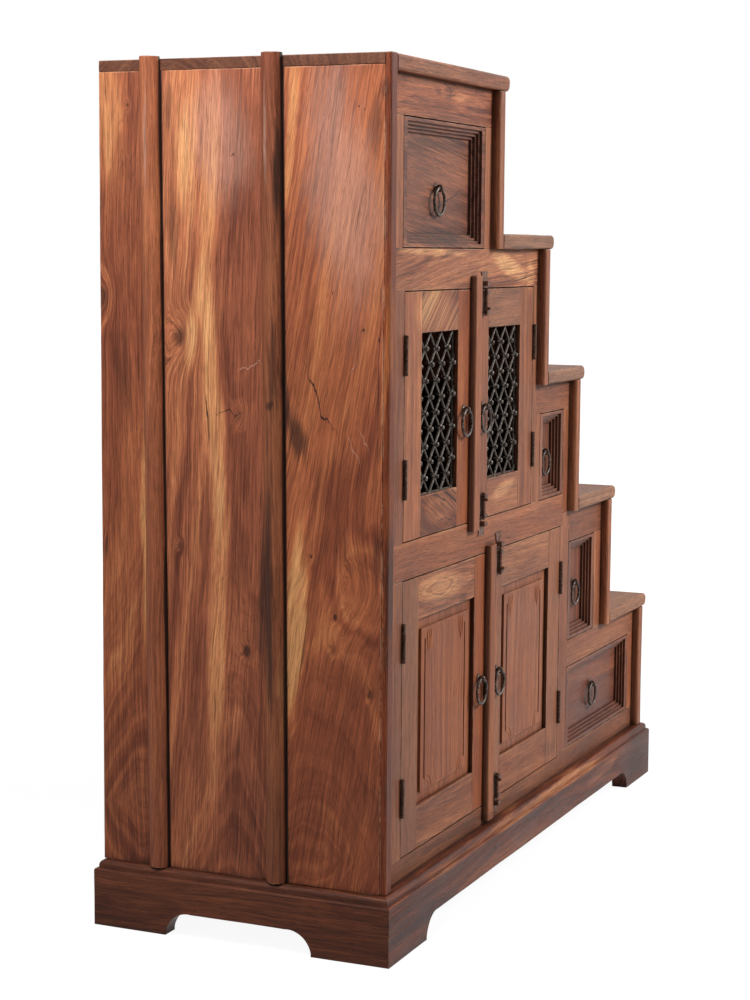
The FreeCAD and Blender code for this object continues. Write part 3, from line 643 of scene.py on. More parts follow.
# %% Where the marks are
side_knots = (
    (-0.210, 0.580, 0.030, 0.030, 0.0),
    (-0.120, 0.634, 0.004, 0.006, 0.9),
    (-0.161, 0.542, 0.004, 0.006, 0.9),
    (-0.158, 0.492, 0.006, 0.010, 0.4),
    (-0.222, 0.425, 0.005, 0.008, 0.6),
    (0.112, 0.968, 0.018, 0.030, 0.75),
    (0.008, 0.849, 0.008, 0.012, 0.5),
    (-0.008, 0.476, 0.005, 0.008, 0.8),
    (0.112, 0.637, 0.005, 0.008, 0.7),
    (0.251, 1.030, 0.016, 0.030, 0.7),
    (0.203, 1.330, 0.005, 0.010, 0.8),
)
side_marks = (
    ("gold", -0.084, 1.290, 0.009, 0.130, 4, 0.6),
    ("grime", -0.224, 1.285, 0.018, 0.060, 0, 0.42),
    ("grime", -0.240, 1.345, 0.014, 0.020, 0, 0.5),
    ("grime", -0.166, 1.337, 0.0013, 0.040, 2, 1.0),
    ("grime", -0.095, 0.815, 0.020, 0.045, -16, 0.75),
    ("grime", -0.078, 0.870, 0.006, 0.060, -8, 0.6),
    ("grime", -0.135, 0.872, 0.0016, 0.062, -24, 0.95),
    ("grime", -0.205, 0.985, 0.003, 0.004, 0, 0.9),
    ("gold", -0.243, 0.930, 0.005, 0.150, 1, 0.55),
    ("grime", -0.232, 0.930, 0.0012, 0.170, 0, 0.8),
    ("line", -0.247, 0.574, 0.007, 0.140, 1, 0.6),
    ("gold", -0.093, 0.520, 0.020, 0.190, 3, 1.1),
    ("line", -0.108, 0.500, 0.003, 0.110, 6, 0.6),
    ("grime", -0.055, 0.560, 0.010, 0.260, 0, 0.75),
    ("warm", -0.175, 0.540, 0.040, 0.060, 50, 0.55),
    ("line", -0.235, 0.640, 0.010, 0.060, 0, 0.5),
    ("gold", 0.050, 0.860, 0.020, 0.230, -3, 0.85),
    ("gold", 0.085, 1.000, 0.012, 0.100, 6, 0.7),
    ("gold", 0.045, 0.500, 0.020, 0.300, 1, 0.7),
    ("honey", 0.070, 1.250, 0.045, 0.150, 0, 0.7),
    ("honey", 0.236, 1.300, 0.030, 0.130, 0, 0.7),
    ("grime", -0.038, 0.590, 0.014, 0.200, 1, 0.62),
    ("grime", 0.062, 0.850, 0.0012, 0.075, -5, 0.9),
    ("grime", 0.020, 0.850, 0.0014, 0.028, 78, 0.8),
    ("gold", 0.105, 1.240, 0.012, 0.090, 3, 0.5),
    ("grime", 0.128, 1.330, 0.010, 0.050, 0, 0.35),
    ("grime", 0.124, 1.130, 0.010, 0.070, 0, 0.42),
    ("gold", 0.176, 0.640, 0.010, 0.220, 0, 0.9),
    ("honey", 0.238, 1.285, 0.012, 0.080, 0, 0.5),
    ("line", 0.215, 0.900, 0.018, 0.100, 0, 0.35),
    ("grime", 0.247, 0.633, 0.003, 0.030, 0, 0.7),
    ("grime", -0.064, 1.230, 0.006, 0.120, 0, 0.8),
    # The pale veils: on the battens a painted highlight with some wear, the two large ones a painted sheen
    # with some polish haze, the thin ones scratches.
    ("veil", -0.048, 1.290, 0.0035, 0.090, 0, 0.7),
    ("veil", 0.160, 1.280, 0.0035, 0.100, 0, 0.5),
    ("grime", -0.054, 0.870, 0.007, 0.009, 0, 0.7),
    ("veil", -0.170, 1.200, 0.075, 0.230, -8, 0.5),
    ("veil", 0.040, 1.280, 0.060, 0.120, -10, 0.35),
    ("grime", -0.231, 0.965, 0.003, 0.004, 0, 1.0),
    ("grime", -0.195, 1.330, 0.002, 0.0025, 0, 1.0),
    ("grime", -0.203, 1.326, 0.0018, 0.002, 0, 1.0),
    ("grime", -0.156, 1.040, 0.002, 0.003, 0, 1.0),
    ("grime", 0.014, 1.250, 0.002, 0.003, 0, 0.9),
    ("veil", -0.015, 0.922, 0.0009, 0.026, 82, 0.9),
    ("veil", -0.188, 0.930, 0.0009, 0.014, 50, 0.8),
    ("veil", -0.190, 0.800, 0.0008, 0.030, -20, 0.7),
    ("veil", -0.205, 0.815, 0.0008, 0.020, -25, 0.7),
    ("deep", -0.160, 0.740, 0.050, 0.070, 30, 0.45),
    ("grime", -0.060, 0.930, 0.008, 0.080, 0, 0.5),
)
# Painted shadow lines, with some dirt, along the front edge of each batten.
batten_shadow_seams = ((-0.0815, 0.0093, 0.0019), (0.1305, 0.0093, 0.0015))
front_marks = (
    ("gold", -0.120, 1.078, 0.100, 0.018, 14, 0.9),
    ("gold", -0.480, 1.104, 0.170, 0.007, 1, 0.8),
    ("gold", -0.020, 1.062, 0.025, 0.030, 0, 0.6),
    ("gold", -0.465, 1.010, 0.090, 0.045, 0, 0.65),
    ("gold", -0.330, 1.350, 0.090, 0.010, 0, 0.6),
    ("gold", -0.430, 0.560, 0.120, 0.024, 4, 0.6),
    ("grime", -0.330, 0.525, 0.026, 0.010, 0, 0.5),
    ("honey", -0.020, 0.400, 0.040, 0.110, 0, 0.5),
    ("gold", -0.150, 0.690, 0.070, 0.014, -10, 0.7),
    ("gold", -0.450, 0.685, 0.070, 0.022, 0, 0.5),
    ("grime", 0.120, 0.170, 0.050, 0.020, 0, 0.3),
    ("grime", -0.300, 0.125, 0.300, 0.012, 0, 0.4),
)
drawer_marks = (
    ("honey", -0.430, 1.200, 0.130, 0.030, -6, 0.5),
    ("warm", -0.380, 1.235, 0.090, 0.010, 0, 0.5),
    ("line", -0.400, 1.180, 0.120, 0.0025, -16, 0.6),
    ("grime", -0.430, 1.130, 0.180, 0.018, 0, 0.5),
    ("grime", -0.430, 1.275, 0.180, 0.014, 0, 0.45),
)
plinth_marks = (
    ("gold", 0.050, 0.100, 0.420, 0.009, 0, 1.1),
    ("honey", -0.420, 0.095, 0.150, 0.008, 0, 0.7),
    ("honey", 0.380, 0.075, 0.140, 0.014, -6, 0.8),
    ("warm", -0.200, 0.050, 0.300, 0.030, 0, 0.8),
    ("grime", 0.600, 0.060, 0.070, 0.060, 0, 0.4),
    ("line", -0.500, 0.050, 0.120, 0.004, 8, 0.5),
)
print(len(side_knots), "knots and", len(side_marks) + len(front_marks), "marks on the side and the front")

# %% [markdown]
# ## Seven woods
#
# One function serves all of them. They differ in palette, in gloss, in how close their lines stand and in
# the marks that they carry. Painted shade, with some dirt, darkens the edges of the front's frame that look
# to the left.

# %% Woods
side_wood = rosewood("side_wood", side_palette, knots=side_knots, marks=side_marks, shadow_seams=batten_shadow_seams)
front_wood = rosewood("front_wood", front_palette, marks=front_marks, faces_front=True, left_shade_and_dirt=0.6,
                      gloss=0.5)
panel_wood = rosewood("panel_wood", front_palette, spacing=0.012, gloss=0.5)
trim_wood = rosewood("trim_wood", trim_palette, marks=drawer_marks, faces_front=True, left_shade_and_dirt=0.4,
                     grime=0.95)
plinth_wood = rosewood("plinth_wood", plinth_palette, marks=plinth_marks, faces_front=True)
inner_wood = rosewood("inner_wood", shaded_inner_palette, gloss=0.6)
raw_wood = rosewood("raw_wood", trim_palette, gloss=0.7)
print("woods:", [m.name for m in bpy.data.materials if m.name.endswith("_wood")])

# %% [markdown]
# ## Dressing the wooden nodes
#
# Every wooden node is copied board by board, worked as above and put in the skeleton's place. The copy
# stands for the node and rides on the same body. Where the photograph shows what one board looks like, a
# point inside that board picks it out and its look is given.

# %% Board looks
plain = dict(arch=0, sap_strength=0, light=0, red=0, figure=0.6)
face = -0.225


def at(x, z, y=face, **changes):
    """The look of the board that holds a point, which lies in the front unless y says otherwise."""
    return (x, y, z), {**plain, **changes}


def shown(look, low, high):
    point, given = look
    return all(low[i] - weld_step <= point[i] <= high[i] + weld_step for i in range(3))


print("a plain board:", at(0, 1)[1])

# %% Dress a node
first_seed = 11
dressed = {}


def finish_piece(name, work, material, body, stands_for=(), sharp=35):
    mesh = bpy.data.meshes.new(name)
    work.to_mesh(mesh)
    work.free()
    mesh.materials.append(material)
    piece = bpy.data.objects.new(name, mesh)
    scene.collection.objects.link(piece)
    mesh.shade_smooth()
    mesh.set_sharp_from_angle(angle=math.radians(sharp))
    weighted = piece.modifiers.new("even_normals", "WEIGHTED_NORMAL")
    weighted.keep_sharp = True
    weighted.weight = 80
    if stands_for:
        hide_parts(*stands_for)
    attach(piece, body)
    return piece


def welded(triangles):
    work = bmesh.new()
    for points in triangles:
        work.faces.new([work.verts.new(p) for p in points])
    bmesh.ops.remove_doubles(work, verts=work.verts[:], dist=weld_step)
    bmesh.ops.dissolve_limit(work, angle_limit=math.radians(1), verts=work.verts[:], edges=work.edges[:])
    return work


def join(joined, work):
    part = bpy.data.meshes.new("part")
    work.to_mesh(part)
    work.free()
    joined.from_mesh(part)
    bpy.data.meshes.remove(part)


def dress(node, material, arris=0.0012, step=0.05, wave=0.0003, grain_axis=None, looks=(), cross=0):
    seed = first_seed + len(dressed)
    draw = random.Random(seed)
    low_all, high_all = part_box(node)
    joined = bmesh.new()
    for number, triangles in enumerate(boards_of(node)):
        work = welded(triangles)
        low, high = box_of([v.co for v in work.verts])
        size = high - low
        axis = grain_axis if grain_axis is not None else max(range(3), key=lambda i: size[i])
        ease_arrises(work, arris)
        if step:
            cut_across(work, axis, low[axis], high[axis], step)
        if cross:
            wide = max((i for i in range(3) if i != axis), key=lambda i: size[i])
            cut_across(work, wide, low[wide], high[wide], cross)
        work.normal_update()
        if wave:
            push(work, wave, axis, seed + number * 3.1, low_all, high_all)
        look = random_look(draw, sorted(size)[1])
        for given in looks:
            if shown(given, low, high):
                look.update(given[1])
        mark_grain(work, low, high, axis, look)
        join(joined, work)
    dressed[node] = finish_piece("dressed_" + node, joined, material, nodes[node]["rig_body"], [node])


def count_faces(*names):
    return {name: len(dressed[name].data.polygons) for name in names}


print("the first board's seed is", first_seed)

# %% [markdown]
# ## The tall side
#
# Three wide boards stand side by side, and a half-round batten covers each of their joints. The photograph
# shows this side best, so its mesh is cut along the boards as well as across. The middle board is the
# palest. A dark strip covers the side's front edge.

# %% Tall side
side_looks = (
    ((tall_side, -0.15, 0.7), dict(heart_across=0.03, heart_into=0.15, arch=0.4, arch_from=0.05, slant=0.16,
                                   light=-0.1, red=0.2, figure=0.8, sap_strength=0)),
    ((tall_side, 0.05, 0.7), dict(heart_across=-0.03, heart_into=0.13, arch=0.35, arch_from=0.0, slant=0.04,
                                  light=0.6, red=-0.1, figure=1.1, sap_strength=0)),
    ((tall_side, 0.20, 0.7), dict(heart_across=-0.02, heart_into=0.13, arch=0.6, arch_from=0.1,
                                  light=-0.2, red=0.1, figure=1.1, sap_strength=0)),
)
batten_looks = (
    at(-0.69, 0.7, y=0.1495, light=-0.2, figure=0.3),
    at(-0.69, 0.7, y=-0.0625, light=-1.45, figure=0.3),
)
dress("side_boards", side_wood, cross=0.03, wave=0.0006, looks=side_looks)
dress("side_battens", side_wood, wave=0.0012, step=0.03, looks=batten_looks)
dress("front_edging", side_wood, wave=0.0004,
      looks=[at(-0.68, 0.7, y=-0.245, light=-1.5, red=0.7, figure=1.0)])
print("faces:", count_faces("side_boards", "side_battens", "front_edging"))

# %% [markdown]
# ## The steps
#
# Five thick boards with rounded noses make the flight, and an upright board closes the end of each step.
# The treads' grain runs along the front, the risers' stands upright. Use has made the treads browner and
# wavier than the frame.

# %% Steps
tread_looks = (
    at(-0.12, 1.123, y=0, light=-0.7, red=-1.2),
    at(0.10, 0.878, y=0, light=-0.5, red=-1.6),
    at(0.30, 0.627, y=0, light=-0.5, red=-1.0),
    at(0.50, 0.374, y=0, light=-0.4, red=-1.0),
)
riser_looks = (
    at(-0.204, 1.25, y=-0.2, light=0.3),
    at(0.04, 1.0, y=-0.2, light=0.3),
    at(0.229, 0.8, y=-0.2, light=0.2),
)
dress("top_slab", front_wood, grain_axis=0, wave=0.0012, arris=0.002,
      looks=[at(-0.5, 1.39, y=0, light=-0.25, figure=1.0)])
dress("treads", front_wood, grain_axis=0, wave=0.0010, step=0.04, looks=tread_looks)
dress("risers", panel_wood, grain_axis=2, looks=riser_looks)
print("faces:", count_faces("top_slab", "treads", "risers"))

# %% [markdown]
# ## The face frame
#
# Rails and stiles make the grid that doors and drawers close into. Each has its own tone in the photograph:
# the two highest rails are golden, the lowest is nearly black.

# %% Face frame
rail_looks = (
    at(-0.50, 1.34, light=1.2, figure=1.8, red=0.4),
    at(-0.40, 1.08, light=0.7, figure=1.6, heart_into=0.04, slant=-0.08),
    at(-0.40, 0.62, light=0.5, red=0.1),
    at(-0.40, 0.12, light=-1.2),
    at(0.05, 0.83, light=-0.3),
    at(0.25, 0.58, light=-0.4),
    at(0.40, 0.33, light=-0.3),
)
stile_looks = (
    at(-0.63, 1.20, light=1.2),
    at(-0.235, 1.20, light=0.5),
    at(-0.62, 0.85, light=0.2, red=-0.2),
    at(0.01, 0.85, light=-0.1),
    at(-0.62, 0.40, light=-0.1, red=-0.2),
    at(0.19, 0.40, light=-0.25),
)
for node, looks in (("face_rails", rail_looks), ("face_stiles", stile_looks)):
    dress(node, front_wood, looks=looks)
print("faces:", count_faces("face_rails", "face_stiles"))

# %% [markdown]
# ## The doors
#
# Each leaf is a frame of two stiles and two rails. The upper ones hold iron, the lower ones a raised panel:
# one reddish, one golden. A rounded strip on the right leaf covers the gap between two leaves.

# %% Doors
upper_left_looks = (
    at(-0.56, 0.85, light=1.6, figure=0.9),
    at(-0.33, 0.85, light=-0.1, red=0.9),
    at(-0.44, 1.01, light=0.1, figure=2.2, heart_into=0.03, heart_across=0.05, slant=-0.8),
    at(-0.44, 0.68, light=0.1, figure=2.2, slant=0.5),
)
upper_right_looks = (
    at(-0.26, 0.85, light=0.1),
    at(-0.03, 0.85, light=0.1, figure=0.9),
    at(-0.15, 1.01, light=-0.2, red=-0.6),
    at(-0.15, 0.68, light=0.2, figure=1.0),
)
lower_left_looks = (
    at(-0.56, 0.36, light=-0.2, red=-0.4),
    at(-0.24, 0.36, light=-0.1, red=0.8),
    at(-0.40, 0.55, light=0.3, figure=2.0, heart_into=0.05, arch=0.7, arch_from=0.1),
    at(-0.40, 0.17, light=0.0, figure=1.0),
)
lower_right_looks = (
    at(-0.18, 0.36, light=0.0, red=-0.3),
    at(0.14, 0.36, light=-0.1, red=-0.2),
    at(-0.02, 0.55, light=0.1, red=-0.3),
    at(-0.02, 0.17, light=-0.15),
)
door_looks = {"upper_left": upper_left_looks, "upper_right": upper_right_looks,
              "lower_left": lower_left_looks, "lower_right": lower_right_looks}
for leaf, looks in door_looks.items():
    dress(leaf + "_door_frame", front_wood, looks=looks)
reddish = at(-0.40, 0.36, y=-0.228, red=0.5, light=0.1, figure=0.55)
golden = at(-0.02, 0.36, y=-0.228, red=0.0, light=0.6, figure=0.55)
dress("lower_left_panel", panel_wood, looks=[reddish])
dress("lower_right_panel", panel_wood, looks=[golden])
dress("upper_cover_strip", front_wood, wave=0.0005,
      looks=[at(-0.296, 0.85, y=-0.24, light=1.0, red=0.1)])
dress("lower_cover_strip", front_wood, wave=0.0005,
      looks=[at(-0.21, 0.36, y=-0.24, light=-0.35, red=0.3)])
print("faces:", count_faces("lower_left_panel", "lower_right_panel", "upper_cover_strip"))

# %% [markdown]
# ## The drawer fronts
#
# A stepped moulding frames a sunk panel on each drawer. The grain lies on the top and the bottom drawer and
# stands upright on the two between. The mouldings are fine, so their arrises are too.

# %% Drawer fronts
drawer_looks = {
    5: (0, at(-0.43, 1.2, y=-0.23, light=0.8, red=0.5, slant=0.12, figure=1.2)),
    3: (2, at(0.11, 0.73, y=-0.23, light=0.3, red=0.3)),
    2: (2, at(0.3, 0.46, y=-0.23, light=0.2, red=0.5)),
    1: (0, at(0.42, 0.23, y=-0.23, light=0.0, red=0.8)),
}
for step_number, (axis, look) in drawer_looks.items():
    dress(f"drawer_{step_number}_front", trim_wood, grain_axis=axis, arris=0.0008,
          looks=[look])
print("faces:", count_faces("drawer_5_front", "drawer_1_front"))

# %% [markdown]
# ## The plinth
#
# Four moulded boards with bracket feet, mitred at the corners, carry the cabinet. The front one is cut from
# a streaky board, and the left one is darker.

# %% Plinth
dress("plinth_front", plinth_wood, wave=0.0006,
      looks=[at(0, 0.09, y=-0.25, light=0.1, red=0.9, figure=1.2)])
dress("plinth_back", plinth_wood)
dress("plinth_left", plinth_wood, wave=0.0006,
      looks=[at(-0.69, 0.09, y=0, light=-0.8, red=0.5, figure=1.0)])
dress("plinth_right", plinth_wood)
print("faces:", count_faces("plinth_front", "plinth_back", "plinth_left", "plinth_right"))

# %% [markdown]
# ## The inside and the back
#
# What is hidden is plainer: waxed boards inside, painted dark as the shade within the cupboards, raw ones
# for the back and the drawer boxes. They are dressed like the rest, because a door may be opened.

# %% Inside and back
for node in ("bottom_board", "inner_shelves", "partitions", "base_blocks_and_bearers", "drawer_runners"):
    dress(node, inner_wood)
for node in ("back_boards", "back_rails", "drawer_5_box", "drawer_3_box", "drawer_2_box", "drawer_1_box"):
    dress(node, raw_wood)
print("dressed", len(dressed), "wooden nodes,", sum(count_faces(*dressed).values()), "faces")

# %% [markdown]
# ## Rods, lumps, hoops and bars
#
# Carver and smith work with a few simple forms: drawn rods, rounded lumps, bent hoops and cut bars. Each
# helper adds one of them to a mesh in the making. A hoop is a small circle spun round an axis.

# %% Rods, lumps, hoops and bars


def edges_of(vertices):
    return list({e for v in vertices for e in v.link_edges})


def add_rod(work, start, end, radius, sides=8, end_radius=None):
    start, end = Vector(start), Vector(end)
    run = end - start
    place = Matrix.Translation((start + end) / 2) @ run.to_track_quat("Z", "Y").to_matrix().to_4x4()
    bmesh.ops.create_cone(work, cap_ends=True, segments=sides, radius1=radius, depth=run.length,
                          radius2=radius if end_radius is None else end_radius, matrix=place)


def add_lump(work, centre, half_size, turn=0.0):
    """A rounded lump, turned about the front-to-back axis."""
    place = Matrix.Translation(centre) @ Matrix.Rotation(turn, 4, "Y") @ Matrix.Diagonal((*half_size, 1))
    bmesh.ops.create_uvsphere(work, u_segments=8, v_segments=6, radius=1, matrix=place)


def add_hoop(work, centre, radius, wire, axis, steps, sides):
    """A closed ring of round wire. It starts as a circle of wire beside the axis."""
    centre, axis = Vector(centre), Vector(axis)
    outward = axis.orthogonal().normalized()
    turn = Matrix((outward, axis, outward.cross(axis))).transposed().to_4x4()
    place = Matrix.Translation(centre + outward * radius) @ turn
    circle = bmesh.ops.create_circle(work, segments=sides, radius=wire, matrix=place)["verts"]
    bmesh.ops.spin(work, geom=circle + edges_of(circle), cent=centre, axis=axis, angle=math.tau, steps=steps,
                   use_merge=True)


def add_bar(work, centre, size, turn=0.0, bevel=0.0004):
    """A small flat bar, turned about the front-to-back axis."""
    place = Matrix.Translation(centre) @ Matrix.Rotation(turn, 4, "Y") @ Matrix.Diagonal((*size, 1))
    cube = bmesh.ops.create_cube(work, size=1, matrix=place)["verts"]
    bmesh.ops.bevel(work, geom=edges_of(cube), offset=bevel, segments=1, profile=0.5, affect="EDGES",
                    material=-1)


print("forms:", [form.__name__ for form in (add_rod, add_lump, add_hoop, add_bar)])

# %% [markdown]
# ## Carved corners
#
# A carver has run fine beads along the ends of each raised panel and cut quarter rounds into its corners:
# two below, and a leaf of three flutes above. Each bead is half a round rod that lies on the field. A
# quarter round is a small circle, spun through a right angle about the corner, with its two ends filled. A
# flute is a long lump.

# %% Carved corners
bead = 0.0011
field_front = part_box("lower_left_panel")[0].y
field_foot, field_head = 0.231, 0.501
corner_inset = 0.021
quarter_radii = (0.016, 0.025)
flutes = ((0.006, 0.034), (0.013, 0.042), (0.020, 0.034))
flute_half_width, flute_half_depth = 0.0031, 0.0019


def quarter_bead(work, corner, radius, way):
    start = Matrix.Translation(corner + Vector((way * radius, 0, 0)))
    circle = bmesh.ops.create_circle(work, segments=8, radius=bead, matrix=start)["verts"]
    edges = edges_of(circle)
    made = bmesh.ops.spin(work, geom=circle + edges, cent=corner, axis=(0, -way, 0),
                          angle=math.pi / 2, steps=6)
    last = [g for g in made["geom_last"] if isinstance(g, bmesh.types.BMEdge)]
    bmesh.ops.holes_fill(work, edges=edges + last, sides=8)


def carve(node, left, right, look):
    work = bmesh.new()
    sunk = field_front + bead * 0.35
    for x, way in ((left + corner_inset, 1), (right - corner_inset, -1)):
        for radius in quarter_radii:
            quarter_bead(work, Vector((x, sunk, field_foot + 0.0015)), radius, way)
        for aside, length in flutes:
            centre = (x + way * aside, field_front + 0.0002, field_head - 0.005 - length / 2)
            add_lump(work, centre, (flute_half_width, flute_half_depth, length / 2),
                     way * (aside - flutes[1][0]) * 14)
    for z, end in ((field_head - 0.0025, 0.062), (field_foot + 0.0025, 0.064)):
        add_rod(work, (left + end, sunk, z), (right - end, sunk, z), bead * 0.8)
    bmesh.ops.recalc_face_normals(work, faces=work.faces[:])
    low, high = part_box(node)
    # The beads and flutes are made paler than their panel, a painted highlight on the carving.
    mark_grain(work, low, high, 2, {**random_look(random.Random(5), 0.2), **look, "light": 1.4})
    return finish_piece("carving_" + node, work, panel_wood, nodes[node]["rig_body"])


carvings = [carve("lower_left_panel", -0.505, -0.2975, reddish[1]),
            carve("lower_right_panel", -0.1225, 0.085, golden[1])]
print("carvings:", [len(c.data.polygons) for c in carvings])

# %% [markdown]
# ## The iron
#
# Lattice, rings, bolts and hinges are black forged iron: brown-black, worn brighter on the high spots, with
# hammer marks and a trace of rust.

# %% Iron
rust_brown = paint(92, 52, 34)


def forged_iron(name, dark, bright, rust_share=0.25, gloss=0.45):
    material, tree, shader = start_material(name)
    place = add_node(tree, "TexCoord").outputs["Object"]
    hammered = clouds(tree, place, (260, 260, 260), 2, 0.5)
    blotches = clouds(tree, place, (70, 70, 70), 3, 0.6)
    grit = clouds(tree, place, (1400, 1400, 1400), 2, 0.6)
    metal = mix(tree, fade(tree, hammered, 0.40, 0.68), dark, bright)
    rust = times(tree, fade(tree, blotches, 0.52, 0.70), rust_share)
    metal = mix(tree, rust, metal, rust_brown)
    feed(tree, metal, shader.inputs["Base Color"])
    shader.inputs["Metallic"].default_value = 0.35
    shader.inputs["Specular IOR Level"].default_value = 0.2
    rough = weigh(tree, gloss, (blotches, 0.5))
    feed(tree, calc(tree, "MULTIPLY_ADD", rust, 0.4, rough, clamp=True), shader.inputs["Roughness"])
    emboss(tree, calc(tree, "MULTIPLY_ADD", grit, 0.2, hammered), 0.0005, shader)
    return material


black_iron = forged_iron("black_iron", paint(66, 47, 38), paint(104, 80, 66), 0.4, 0.5)
ring_iron = forged_iron("ring_iron", paint(46, 38, 34), paint(112, 98, 88), 0.25, 0.42)
bolt_iron = forged_iron("bolt_iron", paint(80, 52, 41), paint(122, 86, 68), 0.5, 0.5)
lattice_iron = forged_iron("lattice_iron", paint(70, 62, 56), paint(122, 112, 104), 0.15, 0.48)
print("irons:", [m.name for m in bpy.data.materials if m.name.endswith("_iron")])

# %% [markdown]
# ## The lattice
#
# Iron rods cross each other in two leaning families, and at each crossing they are tied: a hammered lump
# with a small tab to either side. The rods lie in two layers, so that the front family runs over the other.

# %% Lattice
pitch_x, pitch_z = 0.047, 0.052
groove_hold = 0.004
front_rod, back_rod = 0.0022, 0.0019
front_layer, back_layer, rim_layer = 0.0042, 0.0060, 0.0062
rim_width, bar_depth = 0.0092, 0.0030
tie_margin = 0.010


def rod_run(low, high, middle, number, way):
    """Where one leaning rod enters and leaves the frame, as (x, z) pairs, or None."""
    slope = way * pitch_x / pitch_z
    base = middle.x + number * pitch_x
    at_left = middle.z + (low.x - base) / slope
    at_right = middle.z + (high.x - base) / slope
    start, end = max(low.z, min(at_left, at_right)), min(high.z, max(at_left, at_right))
    if end - start < pitch_x / 4:
        return None
    return [(base + slope * (z - middle.z), z) for z in (start, end)]


def tie(work, x, y, z, draw):
    """The lump over a crossing, with its head, its tail and the small bar across it."""
    tied = Vector((x + draw.uniform(-0.0008, 0.0008), y, z + draw.uniform(-0.0008, 0.0008)))
    head = tied + Vector((0.0006, -0.0040, -0.0012))
    add_lump(work, tied, (0.0042, 0.0036, 0.0046), draw.uniform(-0.5, 0.5))
    add_lump(work, head, (0.0040, 0.0036, 0.0041 * draw.uniform(0.9, 1.15)))
    tail = tied + Vector((draw.uniform(-0.002, 0), 0.0085, draw.uniform(-0.001, 0.0025)))
    add_rod(work, tied, tail, 0.0021, 6, 0.0015)
    add_bar(work, tied + Vector((0, 0.0008, 0)), (0.0150, bar_depth, 0.0034), draw.uniform(-0.35, 0.25))


def make_lattice(node, seed):
    draw = random.Random(seed)
    low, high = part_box(node)
    middle = (low + high) / 2
    inner_low, inner_high = low.copy(), high.copy()
    for i in (0, 2):
        inner_low[i] += groove_hold
        inner_high[i] -= groove_hold
    front_y, back_y = low.y + front_layer, low.y + back_layer
    work = bmesh.new()
    for way, y, thick in ((1, front_y, front_rod), (-1, back_y, back_rod)):
        for number in range(-9, 10):
            run = rod_run(inner_low, inner_high, middle, number, way)
            if not run:
                continue
            (x0, z0), (x1, z1) = run
            pieces = max(1, round((z1 - z0) / pitch_z))
            points = [Vector((x0 + (x1 - x0) * i / pieces + draw.uniform(-0.0006, 0.0006), y,
                              z0 + (z1 - z0) * i / pieces)) for i in range(pieces + 1)]
            for start, end in zip(points, points[1:]):
                add_rod(work, start, end, thick * draw.uniform(0.92, 1.08), 7)
    for i in range(-9, 10):
        for j in range(-13, 14):
            x, z = middle.x + i * pitch_x / 2, middle.z + j * pitch_z / 2
            inside = all(low[k] + tie_margin < v < high[k] - tie_margin for k, v in ((0, x), (2, z)))
            if inside and (i + j) % 2 == 0:
                tie(work, x, front_y, z, draw)
    left, right = low.x + rim_width, high.x - rim_width
    foot, head = low.z + rim_width, high.z - rim_width
    for x0, x1, z0, z1 in ((low.x, left, low.z, high.z), (right, high.x, low.z, high.z),
                           (low.x, high.x, low.z, foot), (low.x, high.x, head, high.z)):
        centre = Vector(((x0 + x1) / 2, low.y + rim_layer, (z0 + z1) / 2))
        add_bar(work, centre, (x1 - x0, bar_depth, z1 - z0))
    return finish_piece("lattice_" + node, work, lattice_iron, nodes[node]["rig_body"], [node], 50)


lattices = [make_lattice("upper_left_grille", 5), make_lattice("upper_right_grille", 6)]
print("lattice faces:", [len(p.data.polygons) for p in lattices])

# %% [markdown]
# ## Rings and their eyes
#
# A ring pull hangs from a small looped eye on a hammered rose. The ring is round wire, a little uneven, and
# turns in the loop about the same line as the skeleton's ring.

# %% Rings and eyes
ring_wire, loop_wire = 0.0025, 0.0016
ring_beat = 0.00022
loop_radius, loop_stand = 0.0047, 0.007
rose_steps = (
    (0, 0.0010, 0.0088, 14, None),
    (0.0008, 0.0030, 0.0068, 12, 0.0035),
    (0, 0.0042, 0.0028, 10, None),
)


def make_ring(node, seed):
    low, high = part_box(node)
    centre = (low + high) / 2
    radius = (high.x - low.x) / 2 - ring_wire
    work = bmesh.new()
    add_hoop(work, centre, radius, ring_wire, (0, 1, 0), steps=44, sides=12)
    bmesh.ops.recalc_face_normals(work, faces=work.faces[:])
    work.normal_update()
    for vertex in work.verts:
        beat = noise.noise(vertex.co * 300 + Vector((seed, 0, 0)))
        vertex.co += vertex.normal * ring_beat * beat
    return finish_piece("hung_" + node, work, ring_iron, nodes[node]["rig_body"], [node], 60)


def add_eye(work, low, high):
    """Rose and loop in the place of the skeleton's eye, whose box is given. The wood is at its back."""
    loop = Vector(((low.x + high.x) / 2, high.y - loop_stand, (low.z + high.z) / 2))
    rose = Vector((loop.x, high.y, loop.z))
    for foot, head, radius, sides, end_radius in rose_steps:
        add_rod(work, rose - Vector((0, foot, 0)), rose - Vector((0, head, 0)), radius, sides, end_radius)
    for side in (-1, 1):
        add_hoop(work, loop + Vector((side * 0.0010, 0, 0)), loop_radius, loop_wire * 0.9, (1, 0, 0), 16, 8)
    bmesh.ops.recalc_face_normals(work, faces=work.faces[:])


def make_drawer_eye(node):
    work = bmesh.new()
    add_eye(work, *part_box(node))
    return finish_piece("looped_" + node, work, black_iron, nodes[node]["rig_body"], [node], 50)


rings = [make_ring(node, i * 3.7) for i, node in enumerate(sorted(n for n in nodes if n.endswith("_ring")))]
eyes = [make_drawer_eye(node) for node in sorted(n for n in nodes if n.endswith("_eye"))]
print(len(rings), "rings,", len(eyes), "drawer eyes")

# %% [markdown]
# ## Hinges, bolts and keepers
#
# The small hinges and the slide bolts keep the shape that the skeleton gives them, with their edges
# hammered round. The eyes on the doors belong to the same nodes and are made like those of the drawers.

# %% Hinges and bolts
eye_width = 0.022


